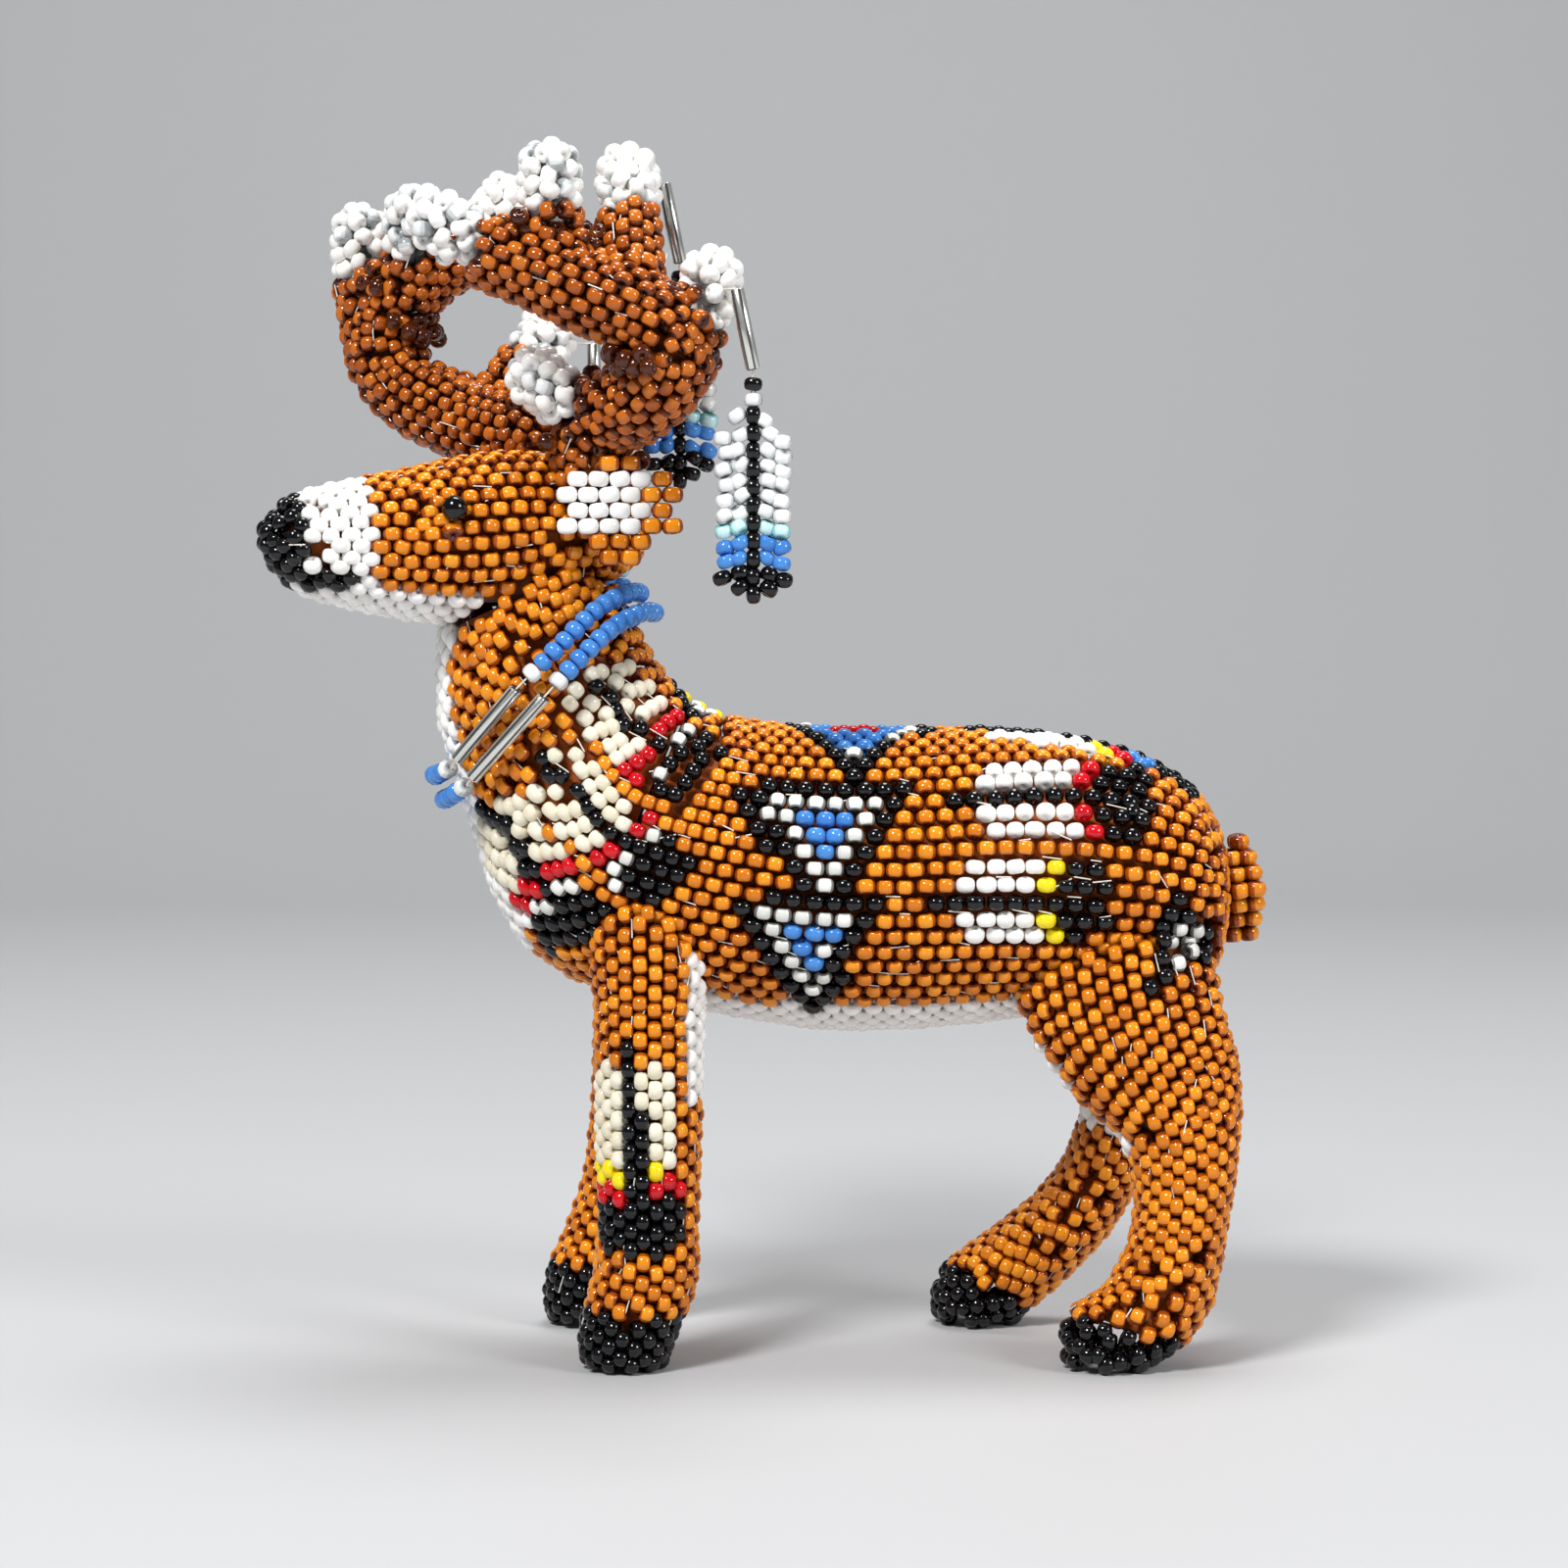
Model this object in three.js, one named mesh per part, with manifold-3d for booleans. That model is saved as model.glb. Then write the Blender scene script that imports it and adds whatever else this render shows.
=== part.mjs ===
// A thread-sewn beaded deer: glass seed beads stitched as tubes over a cloth core,
// with beaded antlers on wrapped wires, a two-strand necklace and three hanging feathers.
// Millimetres, +Z up. The deer faces -X and its left side faces -Y.

import * as THREE from 'three';
import Module from 'manifold-3d';
import { ParametricGeometry } from 'three/addons/geometries/ParametricGeometry.js';
import { mergeVertices } from 'three/addons/utils/BufferGeometryUtils.js';

const wasm = await Module();
wasm.setup();

// ---------------------------------------------------------------- driving dimensions

const GAP = 0.3;                      // clearance kept between neighbouring pieces
const BEAD_LAYER = 2.1;               // thickness of one layer of sewn seed beads
const CORE_INSET = BEAD_LAYER + 2 * GAP;  // the core lies inside the bead layer
const BUGLE_RADIUS = 0.75;            // silver-lined tube beads
const STRAND_RADIUS = 1.05;           // strung round beads of the necklace

const HOOF_FLOOR = 7.6;  // leg station where the hollow inside a hoof ends

const HEAD_YAW = THREE.MathUtils.degToRad(18);  // the head turns towards the deer's left
const HEAD_PIVOT = [-22, 0];                    // X, Y of the turning axis over the neck

const BEAM_RADIUS = 4.8;
const TINE_RADIUS = 3.7;
const CAP_RADIUS = 3.9;
const EYE_RADIUS = 1.35;
const TRUNK_SIDES = 24;   // flats round the torso and neck
const LEG_SIDES = 18;     // flats round a leg, and round the tail
const JOINT_GAP = 0.05;   // stations left open on each side of a leg's seam with its hoof
const BEAM_GAP = 0.03;    // the same where an antler's two halves meet
const CAP_REACH = 1.2;    // a cap's crown and heel lie this far from its middle
const CROWN_RADIUS = CAP_RADIUS * 0.94;
const HEEL_RADIUS = CAP_RADIUS * 0.97;
const BEAM_TAPER = 0.9;   // an antler's front end, against its root

const EAR = { length: 12.5, width: 11.0, thickness: 2.5, height: 84.7 };
const FEATHER = { length: 20.6, width: 7.0, thickness: 2.0, shoulder: 2.4, stem: 3.3 };

const COLOUR = {
  amber: 0xd9821f,
  antler: 0x8a4413,
  white: 0xf1efea,
  black: 0x101014,
  blue: 0x3f86d6,
  silver: 0xd7d9d6,
  feather: 0xdfe6e4,
  cloth: 0x5a2d14,
};

// Outlines are lists of stations. On a trunk or leg station, `top` and `low` are the X, Z of
// the two edges seen from the side, `y` is the centre across the body and `half` the
// half-width across it.

const TRUNK = [
  { top: [47.0, 49.4], low: [46.9, 43.0], y: 0, half: 3.5 },
  { top: [46.1, 54.0], low: [46.0, 39.0], y: 0, half: 8.6 },
  { top: [42.9, 58.4], low: [43.4, 36.8], y: 0, half: 11.6 },
  { top: [37.0, 61.7], low: [37.5, 35.4], y: 0, half: 13.6 },
  { top: [30.0, 63.3], low: [30.0, 34.2], y: 0, half: 14.5 },
  { top: [21.0, 64.0], low: [21.0, 33.0], y: 0, half: 14.8 },
  { top: [12.0, 63.9], low: [12.0, 32.3], y: 0, half: 14.8 },
  { top: [3.0, 64.2], low: [2.0, 32.6], y: 0, half: 14.8 },
  { top: [-3.6, 65.0], low: [-7.0, 34.6], y: 0, half: 14.6 },
  { top: [-6.6, 66.2], low: [-15.5, 36.4], y: 0, half: 14.0 },
  { top: [-8.8, 67.8], low: [-23.0, 38.7], y: 0, half: 13.2 },
  { top: [-10.4, 69.6], low: [-27.6, 44.3], y: 0, half: 12.3 },
  { top: [-11.8, 71.8], low: [-29.9, 50.8], y: 0, half: 11.6 },
  { top: [-13.0, 74.0], low: [-31.8, 57.4], y: 0, half: 10.8 },
  { top: [-14.2, 76.3], low: [-33.9, 63.0], y: 0, half: 9.9 },
  { top: [-15.2, 79.0], low: [-34.2, 69.0], y: 0, half: 9.3 },
  { top: [-15.8, 82.0], low: [-34.0, 75.5], y: 0, half: 8.8 },
];
const NECK_START = 9.5;       // station where the torso piece ends and the neck piece begins
const NECK_SPLIT = 0.1;       // stations left open between the two pieces
const RUMP_WALL = 1.7;        // station where the hollow inside the rump begins

// Head stations run forwards from the turning axis: distance, top Z, bottom Z, half-width.
const HEAD = [
  [-9.8, 86.5, 81.5, 3.0],
  [-8.6, 88.8, 79.6, 5.6],
  [-5.0, 90.4, 77.6, 7.8],
  [0.0, 91.8, 75.2, 8.8],
  [5.0, 92.1, 73.6, 9.2],
  [10.0, 91.4, 73.5, 8.9],
  [15.0, 90.2, 74.1, 7.9],
  [20.0, 89.2, 75.0, 6.6],
  [25.0, 88.0, 76.2, 5.7],
  [28.2, 87.0, 77.9, 4.6],
  [29.8, 85.4, 79.8, 2.9],
  [30.3, 84.4, 81.2, 1.4],
];
const MUZZLE_START = 19.6;    // distance forwards where the amber beads give way to white
const NOSE_START = 26.6;      // distance forwards where the black nose begins
const EYE_FORWARD = 12.1;
const EYE_HEIGHT = 85.6;

const LEGS = {
  front_left: {
    hoof: 6.6,
    stations: [
      { top: [-5.0, 50.0], low: [-19.0, 50.0], y: -7.5, half: 5.5 },
      { top: [-5.5, 43.0], low: [-18.5, 42.0], y: -8.6, half: 6.0 },
      { top: [-6.1, 36.0], low: [-17.9, 36.0], y: -9.5, half: 5.7 },
      { top: [-6.3, 29.0], low: [-17.7, 29.0], y: -10.2, half: 5.5 },
      { top: [-6.5, 20.0], low: [-17.7, 20.0], y: -10.8, half: 5.3 },
      { top: [-6.9, 12.0], low: [-17.3, 12.6], y: -11.3, half: 5.0 },
      { top: [-6.7, 7.4], low: [-18.2, 8.2], y: -11.6, half: 5.3 },
      { top: [-8.6, 4.2], low: [-19.2, 5.2], y: -11.8, half: 5.5 },
      { top: [-9.6, 0.8], low: [-19.3, 1.5], y: -12.0, half: 5.2 },
      { top: [-11.0, -2.0], low: [-18.2, -2.0], y: -12.0, half: 4.0 },
    ],
  },
  front_right: {
    hoof: 6.6,
    stations: [
      { top: [-5.5, 50.0], low: [-19.0, 50.0], y: 7.5, half: 5.5 },
      { top: [-6.2, 43.0], low: [-18.8, 42.0], y: 8.6, half: 6.0 },
      { top: [-7.7, 36.0], low: [-18.5, 36.0], y: 9.5, half: 5.6 },
      { top: [-8.6, 29.0], low: [-18.9, 29.0], y: 10.2, half: 5.3 },
      { top: [-9.2, 20.0], low: [-19.3, 20.5], y: 10.8, half: 5.1 },
      { top: [-11.2, 11.6], low: [-20.7, 13.0], y: 11.3, half: 4.8 },
      { top: [-12.4, 7.0], low: [-22.8, 8.6], y: 11.6, half: 5.1 },
      { top: [-13.8, 4.2], low: [-24.0, 5.6], y: 11.8, half: 5.4 },
      { top: [-14.8, 0.8], low: [-24.2, 1.7], y: 12.0, half: 5.1 },
      { top: [-16.4, -2.0], low: [-23.2, -2.0], y: 12.0, half: 4.0 },
    ],
  },
  rear_left: {
    hoof: 7.35,
    stations: [
      { top: [44.2, 48.0], low: [25.0, 46.0], y: -6.8, half: 5.5 },
      { top: [44.9, 41.0], low: [24.0, 38.0], y: -8.0, half: 6.2 },
      { top: [46.2, 35.0], low: [26.5, 31.5], y: -8.8, half: 6.2 },
      { top: [47.7, 29.5], low: [31.4, 25.5], y: -9.6, half: 5.9 },
      { top: [47.4, 24.0], low: [35.9, 21.5], y: -10.3, half: 5.5 },
      { top: [46.3, 15.5], low: [36.0, 15.0], y: -11.0, half: 5.1 },
      { top: [45.1, 8.6], low: [34.4, 9.2], y: -11.5, half: 5.1 },
      { top: [43.4, 3.6], low: [30.9, 7.2], y: -11.8, half: 5.2 },
      { top: [39.2, 0.6], low: [28.7, 4.4], y: -12.0, half: 5.3 },
      { top: [37.0, -1.6], low: [28.8, 1.2], y: -12.0, half: 4.8 },
      { top: [35.4, -2.8], low: [30.4, -1.4], y: -12.0, half: 3.6 },
    ],
  },
  rear_right: {
    hoof: 7.6,
    stations: [
      { top: [43.8, 48.0], low: [25.0, 46.0], y: 6.8, half: 5.5 },
      { top: [43.8, 41.0], low: [24.6, 38.0], y: 8.0, half: 6.2 },
      { top: [43.4, 34.5], low: [27.5, 31.5], y: 8.8, half: 6.1 },
      { top: [43.2, 27.0], low: [31.5, 26.0], y: 9.6, half: 5.7 },
      { top: [41.5, 20.3], low: [32.4, 22.0], y: 10.3, half: 5.3 },
      { top: [38.6, 13.9], low: [29.7, 16.2], y: 10.9, half: 5.0 },
      { top: [35.2, 8.2], low: [25.5, 11.9], y: 11.4, half: 5.0 },
      { top: [30.5, 3.6], low: [20.4, 8.5], y: 11.8, half: 5.1 },
      { top: [26.8, 0.6], low: [17.6, 5.9], y: 12.0, half: 5.2 },
      { top: [24.2, -2.0], low: [16.6, 2.2], y: 12.0, half: 4.7 },
      { top: [22.6, -3.2], low: [18.0, -0.8], y: 12.0, half: 3.6 },
    ],
  },
};

// Antlers: the beam's line, where its lower half ends, then the tines that grow from it.
const ANTLERS = {
  left: {
    beam: [
      [-18.4, -3.4, 88.0], [-17.2, -5.8, 94.0], [-11.6, -12.6, 97.2], [-9.0, -15.2, 101.2],
      [-12.4, -15.6, 104.4], [-17.4, -15.2, 106.4], [-22.6, -14.2, 108.8], [-27.6, -13.2, 110.8],
    ],
    split: 3.4,
    tines: {
      brow: { from: [-17.0, -6.6, 94.8], to: [-20.0, -7.2, 96.0], cap: [-22.2, -7.4, 98.0], seat: 0 },
      back: { from: [-8.8, -15.0, 101.6], to: [-6.6, -14.2, 103.9], cap: [-5.9, -14.0, 107.0], seat: 1 },
      top_rear: { from: [-13.2, -14.6, 105.5], to: [-14.0, -9.8, 114.4], cap: [-14.1, -7.2, 118.0], seat: 1 },
      top_front: {
        from: [-20.6, -14.6, 108.0], to: [-21.5, -13.8, 114.4], cap: [-21.5, -13.4, 117.5], seat: 1,
      },
      front: { from: [-26.0, -13.4, 110.2], to: [-28.0, -13.1, 111.0], cap: [-31.6, -12.6, 113.2], seat: 1 },
    },
  },
  right: {
    beam: [
      [-22.0, 4.0, 87.0], [-23.6, 5.2, 92.4], [-29.3, 9.0, 94.4], [-36.4, 13.0, 97.5],
      [-40.0, 15.0, 101.1], [-40.6, 15.5, 105.3], [-38.2, 15.0, 109.2], [-35.2, 14.4, 111.6],
      [-32.4, 13.8, 113.2],
    ],
    split: 4.2,
    tines: {
      brow: { from: [-28.6, 9.4, 95.6], to: [-25.6, 13.0, 100.8], cap: [-23.9, 14.6, 103.6], seat: 0 },
      outer: { from: [-41.6, 15.8, 103.0], to: [-43.0, 16.6, 110.2], cap: [-43.3, 16.6, 114.0], seat: 1 },
      top: { from: [-38.0, 15.0, 105.4], to: [-37.6, 12.4, 112.4], cap: [-37.2, 11.2, 115.6], seat: 1 },
      inner: { from: [-33.4, 14.0, 112.2], to: [-31.0, 13.7, 114.0], cap: [-28.6, 13.4, 117.0], seat: 1 },
    },
  },
};

// Hanging feathers: the upper end of the tube bead, and where the feather hangs below it.
const PENDANTS = {
  back: { top: [-3.1, -18.2, 106.7], bottom: [-1.5, -18.2, 98.9] },
  top: { top: [-10.6, -3.0, 118.4], bottom: [-9.0, -3.0, 110.4] },
  brow: { top: [-18.7, 17.7, 103.6], bottom: [-18.6, 17.7, 95.4] },
};

// Necklace, left half: the strung beads from the nape, the tube bead, then the front beads.
const STRANDS = {
  inner: {
    nape: [
      [-13.2, 0, 77.2], [-14.5, -5.2, 77.2], [-17.2, -8.9, 75.6], [-20.6, -11.2, 72.2],
      [-24.0, -11.9, 68.8],
    ],
    bugle: [[-25.0, -11.9, 67.8], [-31.2, -8.6, 60.6]],
    front: [[-31.9, -7.6, 59.8], [-33.5, -4.2, 58.9], [-34.2, 0, 58.7]],
  },
  outer: {
    nape: [
      [-11.7, 0, 75.2], [-13.1, -5.8, 75.2], [-15.8, -9.9, 73.6], [-18.6, -12.1, 70.9],
      [-21.3, -12.9, 68.0],
    ],
    bugle: [[-22.2, -13.0, 67.0], [-29.6, -10.0, 58.8]],
    front: [[-30.2, -9.2, 58.1], [-32.3, -5.4, 56.6], [-33.2, 0, 56.2]],
  },
};

const TAIL = [
  { top: [47.9, 53.4], low: [46.3, 51.9], y: 0, half: 1.4 },
  { top: [49.5, 50.8], low: [47.4, 49.6], y: 0, half: 3.8 },
  { top: [50.2, 47.0], low: [48.0, 46.6], y: 0, half: 4.6 },
  { top: [50.0, 43.6], low: [47.8, 43.6], y: 0, half: 3.8 },
  { top: [49.0, 41.0], low: [47.8, 41.6], y: 0, half: 1.4 },
];

// ---------------------------------------------------------------- shaping tools

const figure = new THREE.Group();

function addMesh(name, geometry, colour, roughness = 0.25) {
  const material = new THREE.MeshStandardMaterial({ color: colour, roughness, metalness: 0 });
  const mesh = new THREE.Mesh(geometry, material);
  mesh.name = name;
  figure.add(mesh);
}

// A solid for joining and cutting, from a closed geometry. Triangles that have shrunk to a
// line at a pole are dropped, and faces that point inwards are turned round.
function toSolid(geometry) {
  const bare = geometry.clone();
  bare.deleteAttribute('normal');
  bare.deleteAttribute('uv');
  const merged = mergeVertices(bare, 1e-4);
  const index = merged.index.array;
  const triangles = [];
  for (let i = 0; i < index.length; i += 3) {
    const [a, b, c] = [index[i], index[i + 1], index[i + 2]];
    if (a !== b && b !== c && c !== a) triangles.push(a, b, c);
  }
  const corner = (i) => new THREE.Vector3().fromBufferAttribute(merged.attributes.position, i);
  let volume = 0;
  for (let i = 0; i < triangles.length; i += 3) {
    const [a, b, c] = [corner(triangles[i]), corner(triangles[i + 1]), corner(triangles[i + 2])];
    volume += a.dot(b.cross(c)) / 6;
  }
  if (volume < 0) triangles.reverse();
  return new wasm.Manifold(new wasm.Mesh({
    numProp: 3,
    vertProperties: new Float32Array(merged.attributes.position.array),
    triVerts: new Uint32Array(triangles),
  }));
}

// The geometry of a solid's biggest piece: a cut can leave loose slivers behind it.
function toGeometry(solid) {
  const pieces = solid.decompose().sort((a, b) => b.volume() - a.volume());
  const mesh = pieces[0].getMesh();
  const geometry = new THREE.BufferGeometry();
  geometry.setAttribute('position', new THREE.BufferAttribute(mesh.vertProperties, 3));
  geometry.setIndex(new THREE.BufferAttribute(mesh.triVerts, 1));
  geometry.computeVertexNormals();
  return geometry;
}

// A closed tube whose rings are given by centre(v), two half-axes along(v) and across(v).
function ringSolid(ringAt, sides, steps) {
  const total = steps + 2;
  const point = (u, v, target) => {
    const row = Math.round(v * total);
    const step = THREE.MathUtils.clamp((row - 1) / steps, 0, 1);
    const ring = ringAt(step);
    const angle = (row === 0 || row === total) ? null : u * 2 * Math.PI;
    target.copy(ring.centre);
    if (angle !== null) {
      target.addScaledVector(ring.along, Math.cos(angle));
      target.addScaledVector(ring.across, Math.sin(angle));
    }
  };
  return toSolid(new ParametricGeometry(point, sides, total));
}

function smooth(points) {
  return new THREE.CatmullRomCurve3(points, false, 'centripetal');
}

// Rings between two side outlines, from station `start` to station `end`, drawn in by `inset`.
function outlineSolid(stations, options) {
  const { inset = 0, start = 0, end = stations.length - 1, sides = 20, steps } = options;
  const last = stations.length - 1;
  const top = smooth(stations.map((s) => new THREE.Vector3(s.top[0], s.y, s.top[1])));
  const low = smooth(stations.map((s) => new THREE.Vector3(s.low[0], s.y, s.low[1])));
  const half = smooth(stations.map((s, i) => new THREE.Vector3(i, s.half, 0)));
  const ringAt = (v) => {
    const t = THREE.MathUtils.lerp(start, end, v) / last;
    const a = top.getPoint(t);
    const b = low.getPoint(t);
    const centre = a.clone().lerp(b, 0.5);
    const along = b.clone().sub(centre);
    along.setLength(Math.max(along.length() - inset, 0.2));
    const across = new THREE.Vector3(0, Math.max(half.getPoint(t).y - inset, 0.2), 0);
    return { centre, along, across };
  };
  return ringSolid(ringAt, sides, steps ?? Math.ceil(end - start));
}

// The same for the head, whose stations are distances forwards of the turning axis.
const headForward = new THREE.Vector3(-Math.cos(HEAD_YAW), -Math.sin(HEAD_YAW), 0);
const headLeft = new THREE.Vector3(Math.sin(HEAD_YAW), -Math.cos(HEAD_YAW), 0);

function headPoint(forward, left, height) {
  const point = new THREE.Vector3(HEAD_PIVOT[0], HEAD_PIVOT[1], height);
  return point.addScaledVector(headForward, forward).addScaledVector(headLeft, left);
}

function headSection(forward) {
  let i = HEAD.findIndex((s) => s[0] >= forward);
  i = THREE.MathUtils.clamp(i, 1, HEAD.length - 1);
  const t = (forward - HEAD[i - 1][0]) / (HEAD[i][0] - HEAD[i - 1][0]);
  const share = THREE.MathUtils.clamp(t, 0, 1);
  const mix = (k) => THREE.MathUtils.lerp(HEAD[i - 1][k], HEAD[i][k], share);
  return { top: mix(1), bottom: mix(2), half: mix(3) };
}

function headSolid({ inset = 0, start = HEAD[0][0], end = HEAD[HEAD.length - 1][0] }) {
  const inner = HEAD.map((s) => s[0]).filter((d) => d > start + 0.5 && d < end - 0.5);
  const distances = [start, ...inner, end];
  const ringAt = (v) => {
    const distance = distances[Math.round(v * (distances.length - 1))];
    const section = headSection(distance);
    const centre = headPoint(distance, 0, (section.top + section.bottom) / 2);
    const tall = Math.max((section.top - section.bottom) / 2 - inset, 0.2);
    const along = new THREE.Vector3(0, 0, -tall);
    const across = headLeft.clone().multiplyScalar(-Math.max(section.half - inset, 0.2));
    return { centre, along, across };
  };
  return ringSolid(ringAt, 16, distances.length - 1);
}

// A round tube along a smooth line of points, tapering from one radius to the other, with
// flat ends. `start` and `end` count along the points.
function tubeSolid(points, radiusStart, radiusEnd, options = {}) {
  const { start = 0, end = points.length - 1, sides = 10, steps } = options;
  const last = points.length - 1;
  const line = smooth(points.map((p) => new THREE.Vector3(...p)));
  const rows = steps ?? Math.max(2, Math.ceil((end - start) * 1.6));
  const frames = [];
  let side = new THREE.Vector3(0, 1, 0);
  for (let i = 0; i <= rows; i += 1) {
    const t = THREE.MathUtils.lerp(start, end, i / rows) / last;
    const ahead = line.getTangent(THREE.MathUtils.clamp(t, 0, 1));
    side = side.clone().addScaledVector(ahead, -side.dot(ahead)).normalize();
    frames.push({ centre: line.getPoint(t), side, up: ahead.clone().cross(side), t });
  }
  const ringAt = (v) => {
    const frame = frames[Math.round(v * rows)];
    const radius = THREE.MathUtils.lerp(radiusStart, radiusEnd, v);
    return {
      centre: frame.centre,
      along: frame.side.clone().multiplyScalar(radius),
      across: frame.up.clone().multiplyScalar(radius),
    };
  };
  return ringSolid(ringAt, sides, rows);
}

function ball(centre, radius, detail = 9) {
  const sphere = new THREE.SphereGeometry(radius, detail, Math.ceil(detail * 0.65));
  sphere.translate(...centre);
  return toSolid(sphere);
}

// ---------------------------------------------------------------- torso and neck

const last = TRUNK.length - 1;
const trunk = (inset) => outlineSolid(TRUNK, { inset, sides: TRUNK_SIDES });
const trunkGrown = trunk(-GAP);

const legs = Object.entries(LEGS).map(([name, leg]) => ({
  name,
  leg,
  hollow: outlineSolid(leg.stations, { inset: BEAD_LAYER, end: HOOF_FLOOR, sides: LEG_SIDES }),
}));

function trunkPiece(start, end, openStart, openEnd) {
  const outside = outlineSolid(TRUNK, { start, end, sides: TRUNK_SIDES });
  const hollowStart = openStart ? start - 0.5 : RUMP_WALL;
  const hollowEnd = openEnd ? Math.min(end + 0.5, last) : end;
  const inside = outlineSolid(TRUNK, {
    inset: BEAD_LAYER, start: hollowStart, end: hollowEnd, sides: TRUNK_SIDES,
  });
  return outside.subtract(inside);
}

const headGrown = headSolid({ inset: -GAP });
const HEAD_BACK = HEAD[0][0];
const HEAD_FRONT = HEAD[HEAD.length - 1][0];
const headHollow = headSolid({ inset: BEAD_LAYER, start: HEAD_BACK + 2, end: HEAD_FRONT - 2.4 });

let torso = trunkPiece(0, NECK_START, false, true);
let neck = trunkPiece(NECK_START + NECK_SPLIT, last, true, true).subtract(headGrown);
for (const { hollow } of legs) {
  torso = torso.subtract(hollow);
  neck = neck.subtract(hollow);
}
addMesh('torso_beadwork', toGeometry(torso), COLOUR.amber);
addMesh('neck_beadwork', toGeometry(neck), COLOUR.amber);

const torsoCore = outlineSolid(TRUNK, {
  inset: CORE_INSET, start: RUMP_WALL + 0.2, end: NECK_START, sides: TRUNK_SIDES,
});
const neckCore = outlineSolid(TRUNK, {
  inset: CORE_INSET, start: NECK_START + NECK_SPLIT, end: last - 0.4, sides: 16,
});
addMesh('torso_core', toGeometry(torsoCore), COLOUR.cloth, 0.95);

// ---------------------------------------------------------------- legs and hooves

const ground = new THREE.BoxGeometry(200, 80, 20);
ground.translate(0, 0, -10);
const belowGround = toSolid(ground);
const trunkHollowFull = trunk(BEAD_LAYER);

for (const { name, leg, hollow } of legs) {
  const shank = outlineSolid(leg.stations, { end: leg.hoof - JOINT_GAP, sides: LEG_SIDES });
  const toe = outlineSolid(leg.stations, {
    start: leg.hoof + JOINT_GAP, sides: LEG_SIDES, steps: 6,
  });
  const sleeve = shank.subtract(hollow).subtract(trunkGrown).subtract(belowGround);
  addMesh(`${name}_leg_beadwork`, toGeometry(sleeve), COLOUR.amber);
  addMesh(`${name}_hoof`, toGeometry(toe.subtract(hollow).subtract(belowGround)), COLOUR.black);
  const core = outlineSolid(leg.stations, {
    inset: CORE_INSET, end: HOOF_FLOOR - 0.2, sides: LEG_SIDES,
  });
  addMesh(`${name}_leg_core`, toGeometry(core.subtract(trunkHollowFull)), COLOUR.cloth, 0.95);
}

// ---------------------------------------------------------------- head

const antlers = Object.entries(ANTLERS).map(([side, antler]) => ({
  side,
  antler,
  hollow: tubeSolid(antler.beam, BEAM_RADIUS - BEAD_LAYER, BEAM_RADIUS - BEAD_LAYER, { sides: 8 }),
}));
const eyes = [1, -1].map((side) => {
  const section = headSection(EYE_FORWARD);
  const centreHeight = (section.top + section.bottom) / 2;
  const tall = (section.top - section.bottom) / 2;
  const reach = section.half * Math.sqrt(1 - ((EYE_HEIGHT - centreHeight) / tall) ** 2);
  return headPoint(EYE_FORWARD, side * (reach + 0.1), EYE_HEIGHT).toArray();
});

let head = headSolid({ end: MUZZLE_START - GAP / 2 }).subtract(headHollow);
head = head.subtract(outlineSolid(TRUNK, { inset: BEAD_LAYER, start: 10, sides: TRUNK_SIDES }));
for (const { hollow } of antlers) head = head.subtract(hollow);
for (const centre of eyes) head = head.subtract(ball(centre, EYE_RADIUS + GAP));
addMesh('head_beadwork', toGeometry(head), COLOUR.amber);

const muzzle = headSolid({ start: MUZZLE_START + GAP / 2, end: NOSE_START - GAP / 2 });
addMesh('muzzle_beadwork', toGeometry(muzzle.subtract(headHollow)), COLOUR.white);
const nose = headSolid({ start: NOSE_START + GAP / 2 });
addMesh('nose_beadwork', toGeometry(nose.subtract(headHollow)), COLOUR.black);

const headCore = headSolid({ inset: CORE_INSET, start: HEAD_BACK + 2.4, end: HEAD_FRONT - 2.8 });
addMesh('head_core', toGeometry(headCore), COLOUR.cloth, 0.95);
addMesh('neck_core', toGeometry(neckCore.subtract(headHollow)), COLOUR.cloth, 0.95);
eyes.forEach((centre, i) => {
  addMesh(['eye_left', 'eye_right'][i], toGeometry(ball(centre, EYE_RADIUS)), COLOUR.black, 0.05);
});

// A leaf of beads, sewn to the head by its root, and grown by `grow` to cut its neighbours.
function ear(side, grow = 0) {
  const l = EAR.length + 2 * grow;
  const w = EAR.width + 2 * grow;
  const depth = EAR.thickness + 2 * grow;
  const leaf = new THREE.Shape();
  leaf.moveTo(-l / 2, 0);
  leaf.bezierCurveTo(-l * 0.42, w * 0.6, l * 0.2, w * 0.68, l / 2, w * 0.12);
  leaf.bezierCurveTo(l * 0.42, -w * 0.4, -l * 0.1, -w * 0.72, -l / 2, 0);
  const plate = new THREE.ExtrudeGeometry(leaf, { depth, bevelEnabled: false, curveSegments: 6 });
  const root = headPoint(1.6, side * 9.4, EAR.height);
  const tip = headPoint(-9.6, side * 12.3, EAR.height + 0.6);
  const lengthwise = tip.clone().sub(root).normalize();
  const upwards = new THREE.Vector3(0, 0, 1).addScaledVector(lengthwise, -lengthwise.z).normalize();
  const outwards = lengthwise.clone().cross(upwards);
  const centre = root.clone().lerp(tip, 0.5).addScaledVector(outwards, -depth / 2);
  const place = new THREE.Matrix4().makeBasis(lengthwise, upwards, outwards).setPosition(centre);
  plate.applyMatrix4(place);
  return toSolid(plate).subtract(headGrown);
}
addMesh('ear_left', toGeometry(ear(1)), COLOUR.amber);
addMesh('ear_right', toGeometry(ear(-1)), COLOUR.amber);

// ---------------------------------------------------------------- antlers

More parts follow.
